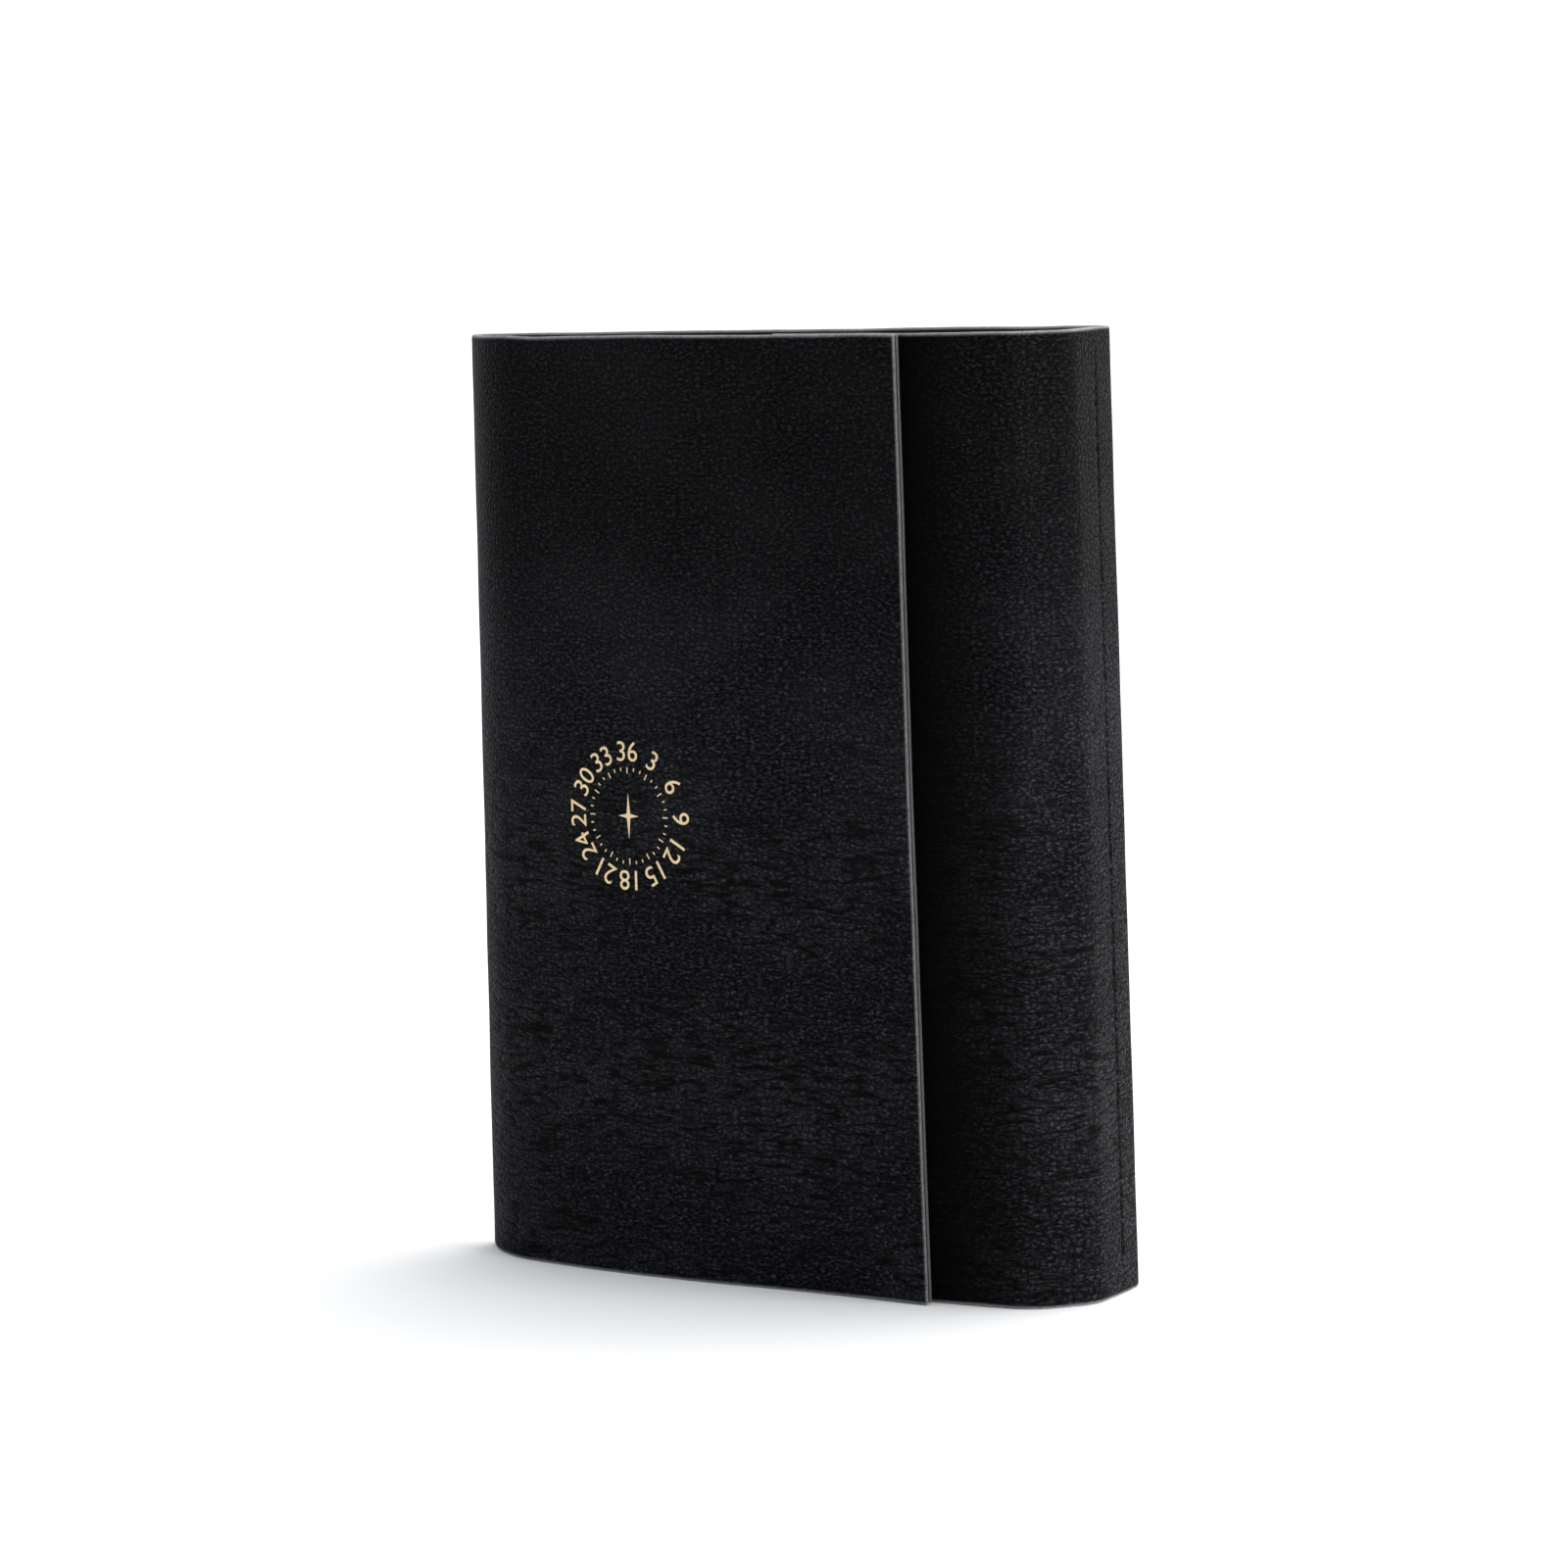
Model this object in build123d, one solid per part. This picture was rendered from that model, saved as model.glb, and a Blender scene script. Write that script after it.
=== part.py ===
from build123d import *
import os
from math import cos, radians, sin

# A logbook in a folded leather wrap cover, standing upright on its lower edges.
# Millimetres and degrees. X runs along the back panel, -Y faces the front flap, Z is up.
# The origin is under the middle of the whole object, on the surface that it stands on.

# ---- wrap cover: one folded sheet, measured along its outer face ----
wrap_height = 228.0
wrap_width = 174.0
leather = 1.3
lining = 1.1
glue_line = 0.1
lining_setback = 0.3
fold_radius = 4.0
wing_length = 60.0
wing_crown = 14.5
shoulder_front_radius = 14.0
shoulder_front_turn = 42.0
shoulder_flat = 8.2
shoulder_flat_turn = 6.0
shoulder_side_radius = 10.0
shoulder_side_turn = 37.0
side_length = 17.0
side_crown = 5.0
spine_turn = 120.0
spine_radius = 34.0
spine_crown = 45.0
flap_body_length = 70.0
flap_body_crown = 11.0
flap_lip_length = 44.5
flap_lip_flare = 7.0
hinge_gap = 0.3
shortest_run = 1e-6

# ---- seam on the side strip ----
seam_from_fold = 8.0
seam_pitch = 3.5
seam_inset_top = 5.5
seam_inset_bottom = 7.0
stitch_length = 2.3
thread = 0.6
groove_depth = 0.5
groove_width = 0.8
stitch_clearance = 0.05

# ---- closure ----
magnet_diameter = 18.0
magnet_thickness = 0.7
magnet_clearance = 0.12
magnet_from_lip = 17.0
keeper_from_wing_edge = 19.0
magnet_from_end = 58.0

# ---- logbook ----
page_width = 97.0
page_height = 206.0
page_corner = 5.0
board = 1.5
board_square = 2.0
board_corner = 6.0
endpaper = 0.2
fixed_section = 1.1
fixed_sections = 3
leaf_bundle = 0.8
leaf_bundles = 4
leaf_gap = 0.3
section_gap = 0.1
paper_gap = 0.05
block_gap = 0.2
board_overhang = 0.6
logbook_from_left = 18.6
logbook_spine = 1.2
spine_room = 1.0
tape_width = 12.0
tapes = 4
cloth = 0.3
cloth_inset = 6.0
band_diameter = 1.2

# ---- sleeve on the back panel, pocket on the wing ----
sleeve = 1.0
sleeve_width = 58.5
sleeve_clearance = 0.4
welt_width = 3.0
welt_from_end = 4.0
pocket_sheet = 1.0
pocket_room = 1.5
pocket_from_wing_edge = 3.0
pocket_width = 60.0
pocket_welt = 2.0
pocket_bottom = 24.0
pocket_height = 150.0

# ---- pen loops ----
pen_bore = 12.0
loop_wall = 1.2
loop_length = 32.0
loop_centres = (96.0, 172.0)
band_width = 8.0
band_thickness = 1.2
seat_gap = 0.05
foot_width = 7.0
cutter_reach = 1.0

lining_start = leather + glue_line
wall = lining_start + lining

# Each run of the folded sheet is (length on the outer face, turn), from the wing's free edge,
# round the right end, along the back and round the left end to the flap's lip.
RUNS = {
    "wing": (wing_length, wing_crown),
    "shoulder_front": (radians(shoulder_front_turn) * shoulder_front_radius, shoulder_front_turn),
    "shoulder_flat": (shoulder_flat, shoulder_flat_turn),
    "shoulder_side": (radians(shoulder_side_turn) * shoulder_side_radius, shoulder_side_turn),
    "side": (side_length, side_crown),
    "right_fold": (radians(90) * fold_radius, 90.0),
    "back": (wrap_width - 2 * fold_radius, 0.0),
    "left_fold": (radians(spine_turn) * fold_radius, spine_turn),
    "spine": (radians(spine_crown) * spine_radius, spine_crown),
    "flap_body": (flap_body_length, flap_body_crown),
    "flap_lip": (flap_lip_length, -flap_lip_flare),
}


def distance_to(run_name, share=0.0):
    """Distance along the sheet to a point in a named run, 0 at its start and 1 at its end."""
    total = 0.0
    for name, (length, _) in RUNS.items():
        if name == run_name:
            return total + share * length
        total += length
    raise ValueError(run_name)


def advance(x, y, heading, length, turn):
    """Point and heading at the end of one straight or round run."""
    middle = radians(heading + turn / 2)
    half = radians(turn / 2)
    chord = length * (sin(half) / half if turn else 1.0)
    return x + chord * cos(middle), y + chord * sin(middle), heading + turn


def walk(distance, start=(0.0, 0.0, 0.0)):
    """Point and heading of the sheet's outer face at a distance from the wing's free edge."""
    x, y, heading = start
    for length, turn in RUNS.values():
        part = min(length, distance)
        x, y, heading = advance(x, y, heading, part, turn * part / length)
        distance -= part
        if distance <= 0:
            break
    return x, y, heading


def sheet_start():
    """Place of the wing's free edge that puts the back panel square and the sheet in the middle."""
    turns = list(RUNS.values())[: list(RUNS).index("back")]
    heading = 180.0 - sum(turn for _, turn in turns)
    back_x, back_y, _ = walk(distance_to("back"), (0.0, 0.0, heading))
    _, lip_y, _ = walk(distance_to("flap_lip", 1.0), (0.0, 0.0, heading))
    right = wrap_width / 2 - fold_radius
    return right - back_x, -(back_y + lip_y) / 2, heading


START = sheet_start()
LENGTH = distance_to("flap_lip", 1.0)
SHOULDER = distance_to("shoulder_flat", 0.5)
RIGHT_FOLD = distance_to("right_fold", 0.5)
LEFT_FOLD = distance_to("left_fold", 0.5)
SPINE_FOLD = distance_to("spine", 0.5)
BACK_Y = walk(distance_to("back"), START)[1]
LEFT_X = -wrap_width / 2


def sheet_point(distance, depth):
    """Point at a depth inside the sheet's outer face."""
    x, y, heading = walk(distance, START)
    side = radians(heading + 90)
    return x + depth * cos(side), y + depth * sin(side)


def sheet_edges(first, last, depth):
    """Edges of the line at one depth in the sheet, from one distance to another."""
    edges = []
    passed = 0.0
    for length, turn in RUNS.values():
        begin = max(first, passed)
        end = min(last, passed + length)
        if end - begin > shortest_run:
            here = sheet_point(begin, depth)
            if turn:
                heading = walk(begin, START)[2]
                radius = length / radians(turn) - depth
                size = turn * (end - begin) / length
                tangent = (cos(radians(heading)), sin(radians(heading)))
                edges.append(JernArc(here, tangent, abs(radius), size))
            else:
                edges.append(Line(here, sheet_point(end, depth)))
        passed += length
    return edges


def strip(first, last, outer, inner, bottom, top):
    """Solid between two depths of the sheet, over a stretch of it and a span of height."""
    near = sheet_edges(first, last, outer)
    far = sheet_edges(first, last, inner)
    ends = [
        Line(sheet_point(first, outer), sheet_point(first, inner)),
        Line(sheet_point(last, outer), sheet_point(last, inner)),
    ]
    profile = make_face([*near, ends[1], *far, ends[0]])
    return Pos(0, 0, bottom) * extrude(profile, amount=top - bottom, dir=(0, 0, 1))


def on_sheet(distance, depth, height):
    """Local frame at a place on the sheet: X along it, Y up, Z out of its outer face."""
    x, y, heading = walk(distance, START)
    px, py = sheet_point(distance, depth)
    along = (cos(radians(heading)), sin(radians(heading)), 0)
    outward = (cos(radians(heading - 90)), sin(radians(heading - 90)), 0)
    return Plane(origin=(px, py, height), x_dir=along, z_dir=outward)


def slab(left, right, front, back, bottom, top):
    """Box from X in from the wrap's left end and Y in from its back face."""
    centre = (LEFT_X + (left + right) / 2, BACK_Y - (front + back) / 2, (bottom + top) / 2)
    return Pos(*centre) * Box(right - left, abs(front - back), top - bottom)


def save(name, *solids):
    """One node of one or more separate solids."""
    node = solids[0] if len(solids) == 1 else Compound(children=list(solids))
    export_step(node, f"parts/{name}.step")


def panel(first, last):
    """Outer leather of one stretch of the wrap."""
    return strip(first, last, 0.0, leather, 0.0, wrap_height)


def panel_lining(first, last):
    """Lining of one stretch of the wrap."""
    low = lining_setback
    return strip(first, last, lining_start, wall, low, wrap_height - low)


def magnet_heights():
    """Heights of the two closing points."""
    return magnet_from_end, wrap_height - magnet_from_end


def magnet_discs(distance, extra=0.0):
    """Thin discs set into the outer side of the lining at one distance along the wrap."""
    thickness = magnet_thickness + extra
    radius = magnet_diameter / 2 + extra
    middle = lining_start + magnet_clearance + magnet_thickness / 2
    return [
        on_sheet(distance, middle, height).location * Cylinder(radius, thickness)
        for height in magnet_heights()
    ]


def recessed_lining(first, last, distance):
    """Lining with a seat for each disc."""
    body = panel_lining(first, last)
    depth = magnet_thickness + 2 * magnet_clearance
    radius = magnet_diameter / 2 + magnet_clearance
    for height in magnet_heights():
        plane = on_sheet(distance, lining_start + depth, height)
        body -= plane.location * Cylinder(
            radius, 2 * depth, align=(Align.CENTER, Align.CENTER, Align.MIN)
        )
    return body


def seam_distance():
    """Distance along the wrap of the line of stitches on the side strip."""
    return distance_to("right_fold") - seam_from_fold


def seam_groove():
    """Groove that the side stitches are pulled into."""
    plane = on_sheet(seam_distance(), groove_depth / 2, wrap_height / 2)
    height = wrap_height - seam_inset_top - seam_inset_bottom
    middle = (seam_inset_bottom - seam_inset_top) / 2
    return plane.location * Pos(0, middle, 0) * Box(groove_width, height, groove_depth)


def seam_stitches():
    """Stitches of the side seam, one behind the other in the groove."""
    room = wrap_height - seam_inset_top - seam_inset_bottom - stitch_length
    count = int(room // seam_pitch) + 1
    first = seam_inset_bottom + stitch_length / 2 + (room - (count - 1) * seam_pitch) / 2
    tall = groove_depth - 2 * stitch_clearance
    return [
        on_sheet(seam_distance(), groove_depth / 2, first + index * seam_pitch).location
        * Box(thread, stitch_length, tall)
        for index in range(count)
    ]


def row(first, last, pitch):
    """Evenly spaced middles that fill a span."""
    count = max(1, int((last - first) // pitch))
    step = (last - first) / count
    return [first + (index + 0.5) * step for index in range(count)]


# ---- logbook places, in from the left end and in from the back face ----
board_front = wall + sleeve_clearance
sleeve_back = board_front + board + endpaper + paper_gap + sleeve_clearance
block_back = sleeve_back + sleeve + block_gap
fixed_top = block_back + fixed_sections * (fixed_section + section_gap) - section_gap
leaves_back = fixed_top + leaf_gap
leaves_top = leaves_back + leaf_bundles * (leaf_bundle + leaf_gap) - leaf_gap
cover_back = leaves_top + leaf_gap + endpaper + paper_gap
page_bottom = (wrap_height - page_height) / 2
page_top = page_bottom + page_height
board_bottom = page_bottom - board_square
board_top = page_top + board_square
board_left = logbook_from_left - board_overhang
board_right = logbook_from_left + page_width + board_square
sleeve_right = board_right + sleeve_clearance + welt_width
spine_left = board_left - spine_room - logbook_spine


def rounded_slab(left, right, front, back, bottom, top, corner):
    """Board or stack of leaves with rounded corners at its fore edge."""
    body = slab(left, right, front, back, bottom, top)
    return fillet(body.edges().filter_by(Axis.Y).group_by(Axis.X)[-1], corner)


def section(front, thickness):
    """One folded section of leaves, with its fold at the spine."""
    left = LEFT_X + logbook_from_left
    middle = BACK_Y - front - thickness / 2
    round_back = thickness / 2
    body = slab(
        logbook_from_left + round_back,
        logbook_from_left + page_width,
        front,
        front + thickness,
        page_bottom,
        page_top,
    )
    body = fillet(body.edges().filter_by(Axis.Y).group_by(Axis.X)[-1], page_corner)
    fold = Pos(left + round_back, middle, wrap_height / 2) * Cylinder(round_back, page_height)
    return body + fold


def logbook_board(front):
    """Flexible cover board."""
    return rounded_slab(
        board_left, board_right, front, front + board, board_bottom, board_top, board_corner
    )


def endpaper_sheet(front):
    """Paper lining of a cover board."""
    return rounded_slab(
        logbook_from_left,
        logbook_from_left + page_width,
        front,
        front + endpaper,
        page_bottom,
        page_top,
        page_corner,
    )


def spine_tapes():
    """Tapes that the sections are sewn to."""
    left = logbook_from_left - paper_gap - cloth
    half = tape_width / 2
    return [
        slab(left, left + cloth, block_back, fixed_top, middle - half, middle + half)
        for middle in row(page_bottom, page_top, page_height / tapes)
    ]


def spine_cloth():
    """Cloth glued over the tapes and the backs of the sections."""
    right = logbook_from_left - 2 * paper_gap - cloth
    low = page_bottom + cloth_inset
    return slab(right - cloth, right, block_back, fixed_top, low, page_top - cloth_inset)


def end_bands():
    """Head band and tail band on the ends of the sewn block."""
    radius = band_diameter / 2
    length = fixed_top - block_back
    middle = BACK_Y - (block_back + fixed_top) / 2
    x = LEFT_X + logbook_from_left + radius
    turned = Rot(90, 0, 0) * Cylinder(radius, length)
    return [
        Pos(x, middle, page_top + radius + paper_gap) * turned,
        Pos(x, middle, page_bottom - radius - paper_gap) * turned,
    ]


def spine_piece():
    """Flat spine of the logbook's cover."""
    return slab(
        spine_left,
        spine_left + logbook_spine,
        board_front,
        cover_back + board,
        board_bottom,
        board_top,
    )


def sleeve_sheet():
    """Face of the sleeve that holds the logbook's back cover."""
    low = welt_from_end
    left = sleeve_right - sleeve_width
    body = slab(left, sleeve_right, sleeve_back, sleeve_back + sleeve, low, wrap_height - low)
    return fillet(body.edges().filter_by(Axis.Y).group_by(Axis.X)[-1], welt_width)


def sleeve_welt():
    """Spacer round three sides of the sleeve, which makes room for the cover."""
    low = welt_from_end
    left = sleeve_right - sleeve_width
    front = wall + seat_gap
    back = sleeve_back - seat_gap
    body = slab(left, sleeve_right, front, back, low, wrap_height - low)
    body = fillet(body.edges().filter_by(Axis.Y).group_by(Axis.X)[-1], welt_width)
    inner_low = low + welt_width
    hollow = slab(
        left - cutter_reach,
        sleeve_right - welt_width,
        front - cutter_reach,
        back + cutter_reach,
        inner_low,
        wrap_height - inner_low,
    )
    return body - hollow


def sleeve_stitches():
    """Stitches on three sides of the sleeve."""
    front = sleeve_back + sleeve + seat_gap
    back = front + thread / 2
    left = sleeve_right - sleeve_width
    line = welt_width / 2
    low = welt_from_end + line
    inner_low = welt_from_end + welt_width
    side = sleeve_right - line
    half = stitch_length / 2
    thin = thread / 2
    column = [
        slab(side - thin, side + thin, front, back, z - half, z + half)
        for z in row(inner_low, wrap_height - inner_low, seam_pitch)
    ]
    rows = [
        slab(x - half, x + half, front, back, z - thin, z + thin)
        for x in row(left, sleeve_right - welt_width, seam_pitch)
        for z in (low, wrap_height - low)
    ]
    return column + rows


def pocket_face():
    """Face of the document pocket on the inside of the wing."""
    inner = wall + pocket_room
    first = pocket_from_wing_edge
    last = first + pocket_width
    return strip(first, last, inner, inner + pocket_sheet, pocket_bottom, pocket_bottom + pocket_height)


def pocket_gusset():
    """Welt that joins the pocket's face to the wing along two sides and the bottom."""
    outer = wall + seat_gap
    inner = wall + pocket_room - seat_gap
    first = pocket_from_wing_edge
    last = first + pocket_width
    top = pocket_bottom + pocket_height
    body = strip(first, last, outer, inner, pocket_bottom, top)
    hollow = strip(
        first + pocket_welt,
        last - pocket_welt,
        outer - cutter_reach,
        inner + cutter_reach,
        pocket_bottom + pocket_welt,
        top + cutter_reach,
    )
    return body - hollow


def pocket_stitches():
    """Stitches down the two sides of the pocket."""
    tall = thread / 2
    depth = wall + pocket_room + pocket_sheet + seat_gap + tall / 2
    first = pocket_from_wing_edge + pocket_welt / 2
    last = pocket_from_wing_edge + pocket_width - pocket_welt / 2
    return [
        on_sheet(distance, depth, height).location * Box(thread, stitch_length, tall)
        for distance in (first, last)
        for height in row(pocket_bottom, pocket_bottom + pocket_height, seam_pitch)
    ]


def loop_band():
    """Strip of leather inside the side strip, held by the side seam, which carries the loops."""
    first = seam_distance() - band_width / 2
    outer = wall + seat_gap
    low = seam_inset_bottom
    return strip(first, first + band_width, outer, outer + band_thickness, low, wrap_height - low)


def pen_loop(height):
    """Round loop for a pen, with its foot sewn to the band."""
    depth = wall + 2 * seat_gap + band_thickness
    outer_radius = pen_bore / 2 + loop_wall
    plane = on_sheet(seam_distance(), depth + outer_radius, height)
    x, y, _ = plane.origin
    ring = Pos(x, y, height) * Cylinder(outer_radius, loop_length)
    foot_plane = on_sheet(seam_distance(), depth + outer_radius / 2, height)
    foot = foot_plane.location * Box(foot_width, loop_length, outer_radius - 2 * seat_gap)
    bore = Pos(x, y, height) * Cylinder(pen_bore / 2, loop_length + cutter_reach)
    return ring + foot - bore


def build_wrap():
    """Leathers and linings of the five stretches of the wrap, with what is set into them."""
    half = hinge_gap / 2
    save("wing_leather", panel(0.0, SHOULDER - half))
    save("wing_lining", recessed_lining(0.0, SHOULDER - half, keeper_from_wing_edge))
    save("wing_keepers", *magnet_discs(keeper_from_wing_edge))
    save("side_strip_leather", panel(SHOULDER + half, RIGHT_FOLD - half) - seam_groove())
    save("side_strip_lining", panel_lining(SHOULDER + half, RIGHT_FOLD - half))
    save("side_stitching", *seam_stitches())
    save("back_panel_leather", panel(RIGHT_FOLD + half, LEFT_FOLD - half))
    save("back_panel_lining", panel_lining(RIGHT_FOLD + half, LEFT_FOLD - half))
    save("spine_strip_leather", panel(LEFT_FOLD + half, SPINE_FOLD - half))
    save("spine_strip_lining", panel_lining(LEFT_FOLD + half, SPINE_FOLD - half))
    save("front_flap_leather", panel(SPINE_FOLD + half, LENGTH))
    save("front_flap_lining", recessed_lining(SPINE_FOLD + half, LENGTH, LENGTH - magnet_from_lip))
    save("flap_magnets", *magnet_discs(LENGTH - magnet_from_lip))


def build_fittings():
    """Sleeve, pocket and pen loops inside the wrap."""
    save("cover_sleeve", sleeve_sheet())
    save("cover_sleeve_welt", sleeve_welt())
    save("cover_sleeve_stitching", *sleeve_stitches())
    save("document_pocket", pocket_face())
    save("document_pocket_welt", pocket_gusset())
    save("document_pocket_stitching", *pocket_stitches())
    save("pen_loop_band", loop_band())
    lower, upper = loop_centres
    save("pen_loop_lower", pen_loop(lower))
    save("pen_loop_upper", pen_loop(upper))


def build_logbook():
    """The logbook that the wrap carries."""
    save("logbook_back_cover", logbook_board(board_front))
    save("logbook_back_endpaper", endpaper_sheet(board_front + board + paper_gap))
    for index in range(fixed_sections):
        front = block_back + index * (fixed_section + section_gap)
        save(f"sewn_section_{index + 1}", section(front, fixed_section))
    for index in range(leaf_bundles):
        front = leaves_back + index * (leaf_bundle + leaf_gap)
        save(f"turning_section_{index + 1}", section(front, leaf_bundle))
    save("sewing_tapes", *spine_tapes())
    save("spine_cloth", spine_cloth())
    save("head_and_tail_bands", *end_bands())
    save("logbook_spine", spine_piece())
    save("logbook_front_endpaper", endpaper_sheet(cover_back - endpaper - paper_gap))
    save("logbook_front_cover", logbook_board(cover_back))


os.makedirs("parts", exist_ok=True)
build_wrap()
build_fittings()
build_logbook()
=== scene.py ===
from math import cos, exp, pi, radians, sin, sqrt

import bmesh
import bpy
from bpy.props import FloatProperty, FloatVectorProperty, PointerProperty
from mathutils import Matrix, Vector, noise


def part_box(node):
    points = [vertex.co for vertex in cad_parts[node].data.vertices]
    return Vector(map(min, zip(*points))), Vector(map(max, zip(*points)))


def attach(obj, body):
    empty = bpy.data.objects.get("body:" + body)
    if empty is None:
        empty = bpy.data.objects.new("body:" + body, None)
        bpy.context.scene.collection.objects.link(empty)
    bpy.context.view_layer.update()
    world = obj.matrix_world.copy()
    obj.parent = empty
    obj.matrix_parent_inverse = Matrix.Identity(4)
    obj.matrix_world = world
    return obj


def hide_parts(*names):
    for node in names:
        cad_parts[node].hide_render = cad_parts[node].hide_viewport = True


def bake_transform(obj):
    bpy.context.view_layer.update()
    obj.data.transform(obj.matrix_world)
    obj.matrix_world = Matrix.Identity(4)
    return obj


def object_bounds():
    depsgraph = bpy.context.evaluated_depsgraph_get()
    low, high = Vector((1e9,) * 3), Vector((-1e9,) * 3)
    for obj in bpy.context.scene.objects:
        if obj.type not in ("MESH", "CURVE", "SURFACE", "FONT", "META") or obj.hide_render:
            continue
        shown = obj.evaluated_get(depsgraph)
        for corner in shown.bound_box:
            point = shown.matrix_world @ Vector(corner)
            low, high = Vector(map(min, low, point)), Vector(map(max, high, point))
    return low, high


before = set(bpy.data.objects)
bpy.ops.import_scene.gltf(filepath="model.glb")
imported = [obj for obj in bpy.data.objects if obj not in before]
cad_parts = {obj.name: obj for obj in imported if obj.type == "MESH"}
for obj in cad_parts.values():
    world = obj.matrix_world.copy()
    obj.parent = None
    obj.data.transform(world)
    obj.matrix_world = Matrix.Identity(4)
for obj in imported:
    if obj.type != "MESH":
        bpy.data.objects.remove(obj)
CAD_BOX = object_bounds()

bl_info = {
    "name": "Wrap-bound logbook",
    "version": (1, 0, 0),
    "blender": (4, 5, 0),
    "location": "View3D > Sidebar > Logbook",
    "description": "Finishes for a logbook in a folded nubuck wrap",
    "category": "Object",
}

MM = 0.001

# ---------------------------------------------------------------- the folded sheet of the wrap
LEATHER = 1.3 * MM
GLUE_LINE = 0.1 * MM
LINING = 1.1 * MM
LINING_START = LEATHER + GLUE_LINE
WALL = LINING_START + LINING
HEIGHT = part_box("back_panel_leather")[1].z
BACK_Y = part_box("back_panel_leather")[1].y
HALF_WIDTH = CAD_BOX[1].x
FOLD_RADIUS = 4.0 * MM


def bend(radius, turn):
    """Length and turn of a round run of the sheet, on its outer face."""
    return radians(turn) * radius, turn


RUNS = {
    "wing": (60.0 * MM, 14.5),
    "shoulder_front": bend(14.0 * MM, 42.0),
    "shoulder_flat": (8.2 * MM, 6.0),
    "shoulder_side": bend(10.0 * MM, 37.0),
    "side": (17.0 * MM, 5.0),
    "right_fold": bend(FOLD_RADIUS, 90.0),
    "back": (2 * (HALF_WIDTH - FOLD_RADIUS), 0.0),
    "left_fold": bend(FOLD_RADIUS, 120.0),
    "spine": bend(34.0 * MM, 45.0),
    "flap_body": (70.0 * MM, 11.0),
    "flap_lip": (44.5 * MM, -7.0),
}


def run_start(name):
    """Distance along the sheet, from the wing's free edge, to where a run starts."""
    total = 0.0
    for run, (length, _) in RUNS.items():
        if run == name:
            return total
        total += length
    return total


def step(x, y, heading, length, turn):
    """Point and heading at the end of one straight or round run."""
    middle = radians(heading + turn / 2)
    half = radians(turn / 2)
    chord = length * (sin(half) / half if turn else 1.0)
    return x + chord * cos(middle), y + chord * sin(middle), heading + turn


def walk(distance, start):
    """Point and heading of the outer face at a distance from the wing's free edge."""
    x, y, heading = start
    left = max(distance, 0.0)
    for length, turn in RUNS.values():
        part = min(length, left)
        x, y, heading = step(x, y, heading, part, turn * part / length)
        left -= part
        if left <= 0:
            break
    return x, y, heading


def sheet_start():
    """Place and heading of the wing's free edge that bring the back panel to its own place."""
    before = list(RUNS)[: list(RUNS).index("back")]
    heading = 180.0 - sum(RUNS[run][1] for run in before)
    x, y, _ = walk(run_start("back"), (0.0, 0.0, heading))
    return HALF_WIDTH - FOLD_RADIUS - x, BACK_Y - y, heading


def spaced(first, last, pitch):
    """Evenly spaced values from first to last, about a pitch apart."""
    count = max(1, round((last - first) / pitch))
    return [first + (last - first) * index / count for index in range(count + 1)]


START = sheet_start()
SHEET_LENGTH = run_start("end")
SEAM_AT = run_start("right_fold") - 8.0 * MM
BACK_MIDDLE = run_start("back") + RUNS["back"][0] / 2
LIP_X = walk(SHEET_LENGTH, START)[0]
WING_PLACES = spaced(0.0, run_start("shoulder_flat"), 0.25 * MM)
LIP_ON_WING = min(WING_PLACES, key=lambda place: abs(walk(place, START)[0] - LIP_X))
SPINE_SPLIT = run_start("spine") + 4.8 * MM
SIDE_SPLIT = run_start("right_fold") - 13.0 * MM
SEAM_PITCH = 3.5 * MM
SEAM_GROOVE = 0.55 * MM
SEAM_DEPTH = 0.5 * MM
# share of the lighter rim tone, rubbed fibres and painted highlight, on a free cut end
END_WEAR_AND_HIGHLIGHT = 0.42
SEAM_LOW = 7.0 * MM
SEAM_HIGH = HEIGHT - 5.5 * MM


def share_of(value, low, high):
    """0 below low, 1 above high, in proportion between."""
    return min(max((value - low) / (high - low), 0.0), 1.0)


def ease(value, low, high):
    """0 below low, 1 above high, smooth between."""
    share = share_of(value, low, high)
    return share * share * (3 - 2 * share)


def lean(x, y, z):
    """The folds of the real sheet lean in towards the top, and its free edge is not quite upright."""
    shape = bpy.context.scene.logbook_shape
    share = z / HEIGHT
    left = share_of(-x, 20.0 * MM, 87.0 * MM)
    right = share_of(x, 50.0 * MM, 80.0 * MM) * ease(y, -18.5 * MM, -12.0 * MM)
    return shape.lean_left * left * share - shape.lean_right * right * share


def uneven(along, up, layer):
    """Smooth noise value at a place counted in waves; each layer has a pattern of its own."""
    return noise.noise(Vector((along, up, layer)))


def swell(distance, z):
    """Soft uneven swelling of the hide, outwards."""
    shape = bpy.context.scene.logbook_shape
    on_flap = ease(distance, run_start("flap_body") - 8 * MM, run_start("flap_body") + 10 * MM)
    broad = uneven(distance * 21, z * 13, 1.7) * (0.25 + 0.9 * on_flap)
    fine = uneven(distance * 75, z * 60, 8.1) * 0.22
    lift = ease(distance, SHEET_LENGTH - 34 * MM, SHEET_LENGTH)
    return shape.swell * (broad + fine) + shape.lip_lift * lift * (0.35 + 0.65 * z / HEIGHT)


def seam_pull(distance, z):
    """Depth that the side seam pulls the leather in, deepest at each needle hole."""
    if not SEAM_LOW < z < SEAM_HIGH:
        return 0.0
    across = exp(-(((distance - SEAM_AT) / SEAM_GROOVE) ** 2))
    return SEAM_DEPTH * across * (0.7 + 0.3 * cos(2 * pi * (z - SEAM_LOW) / SEAM_PITCH))


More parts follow.
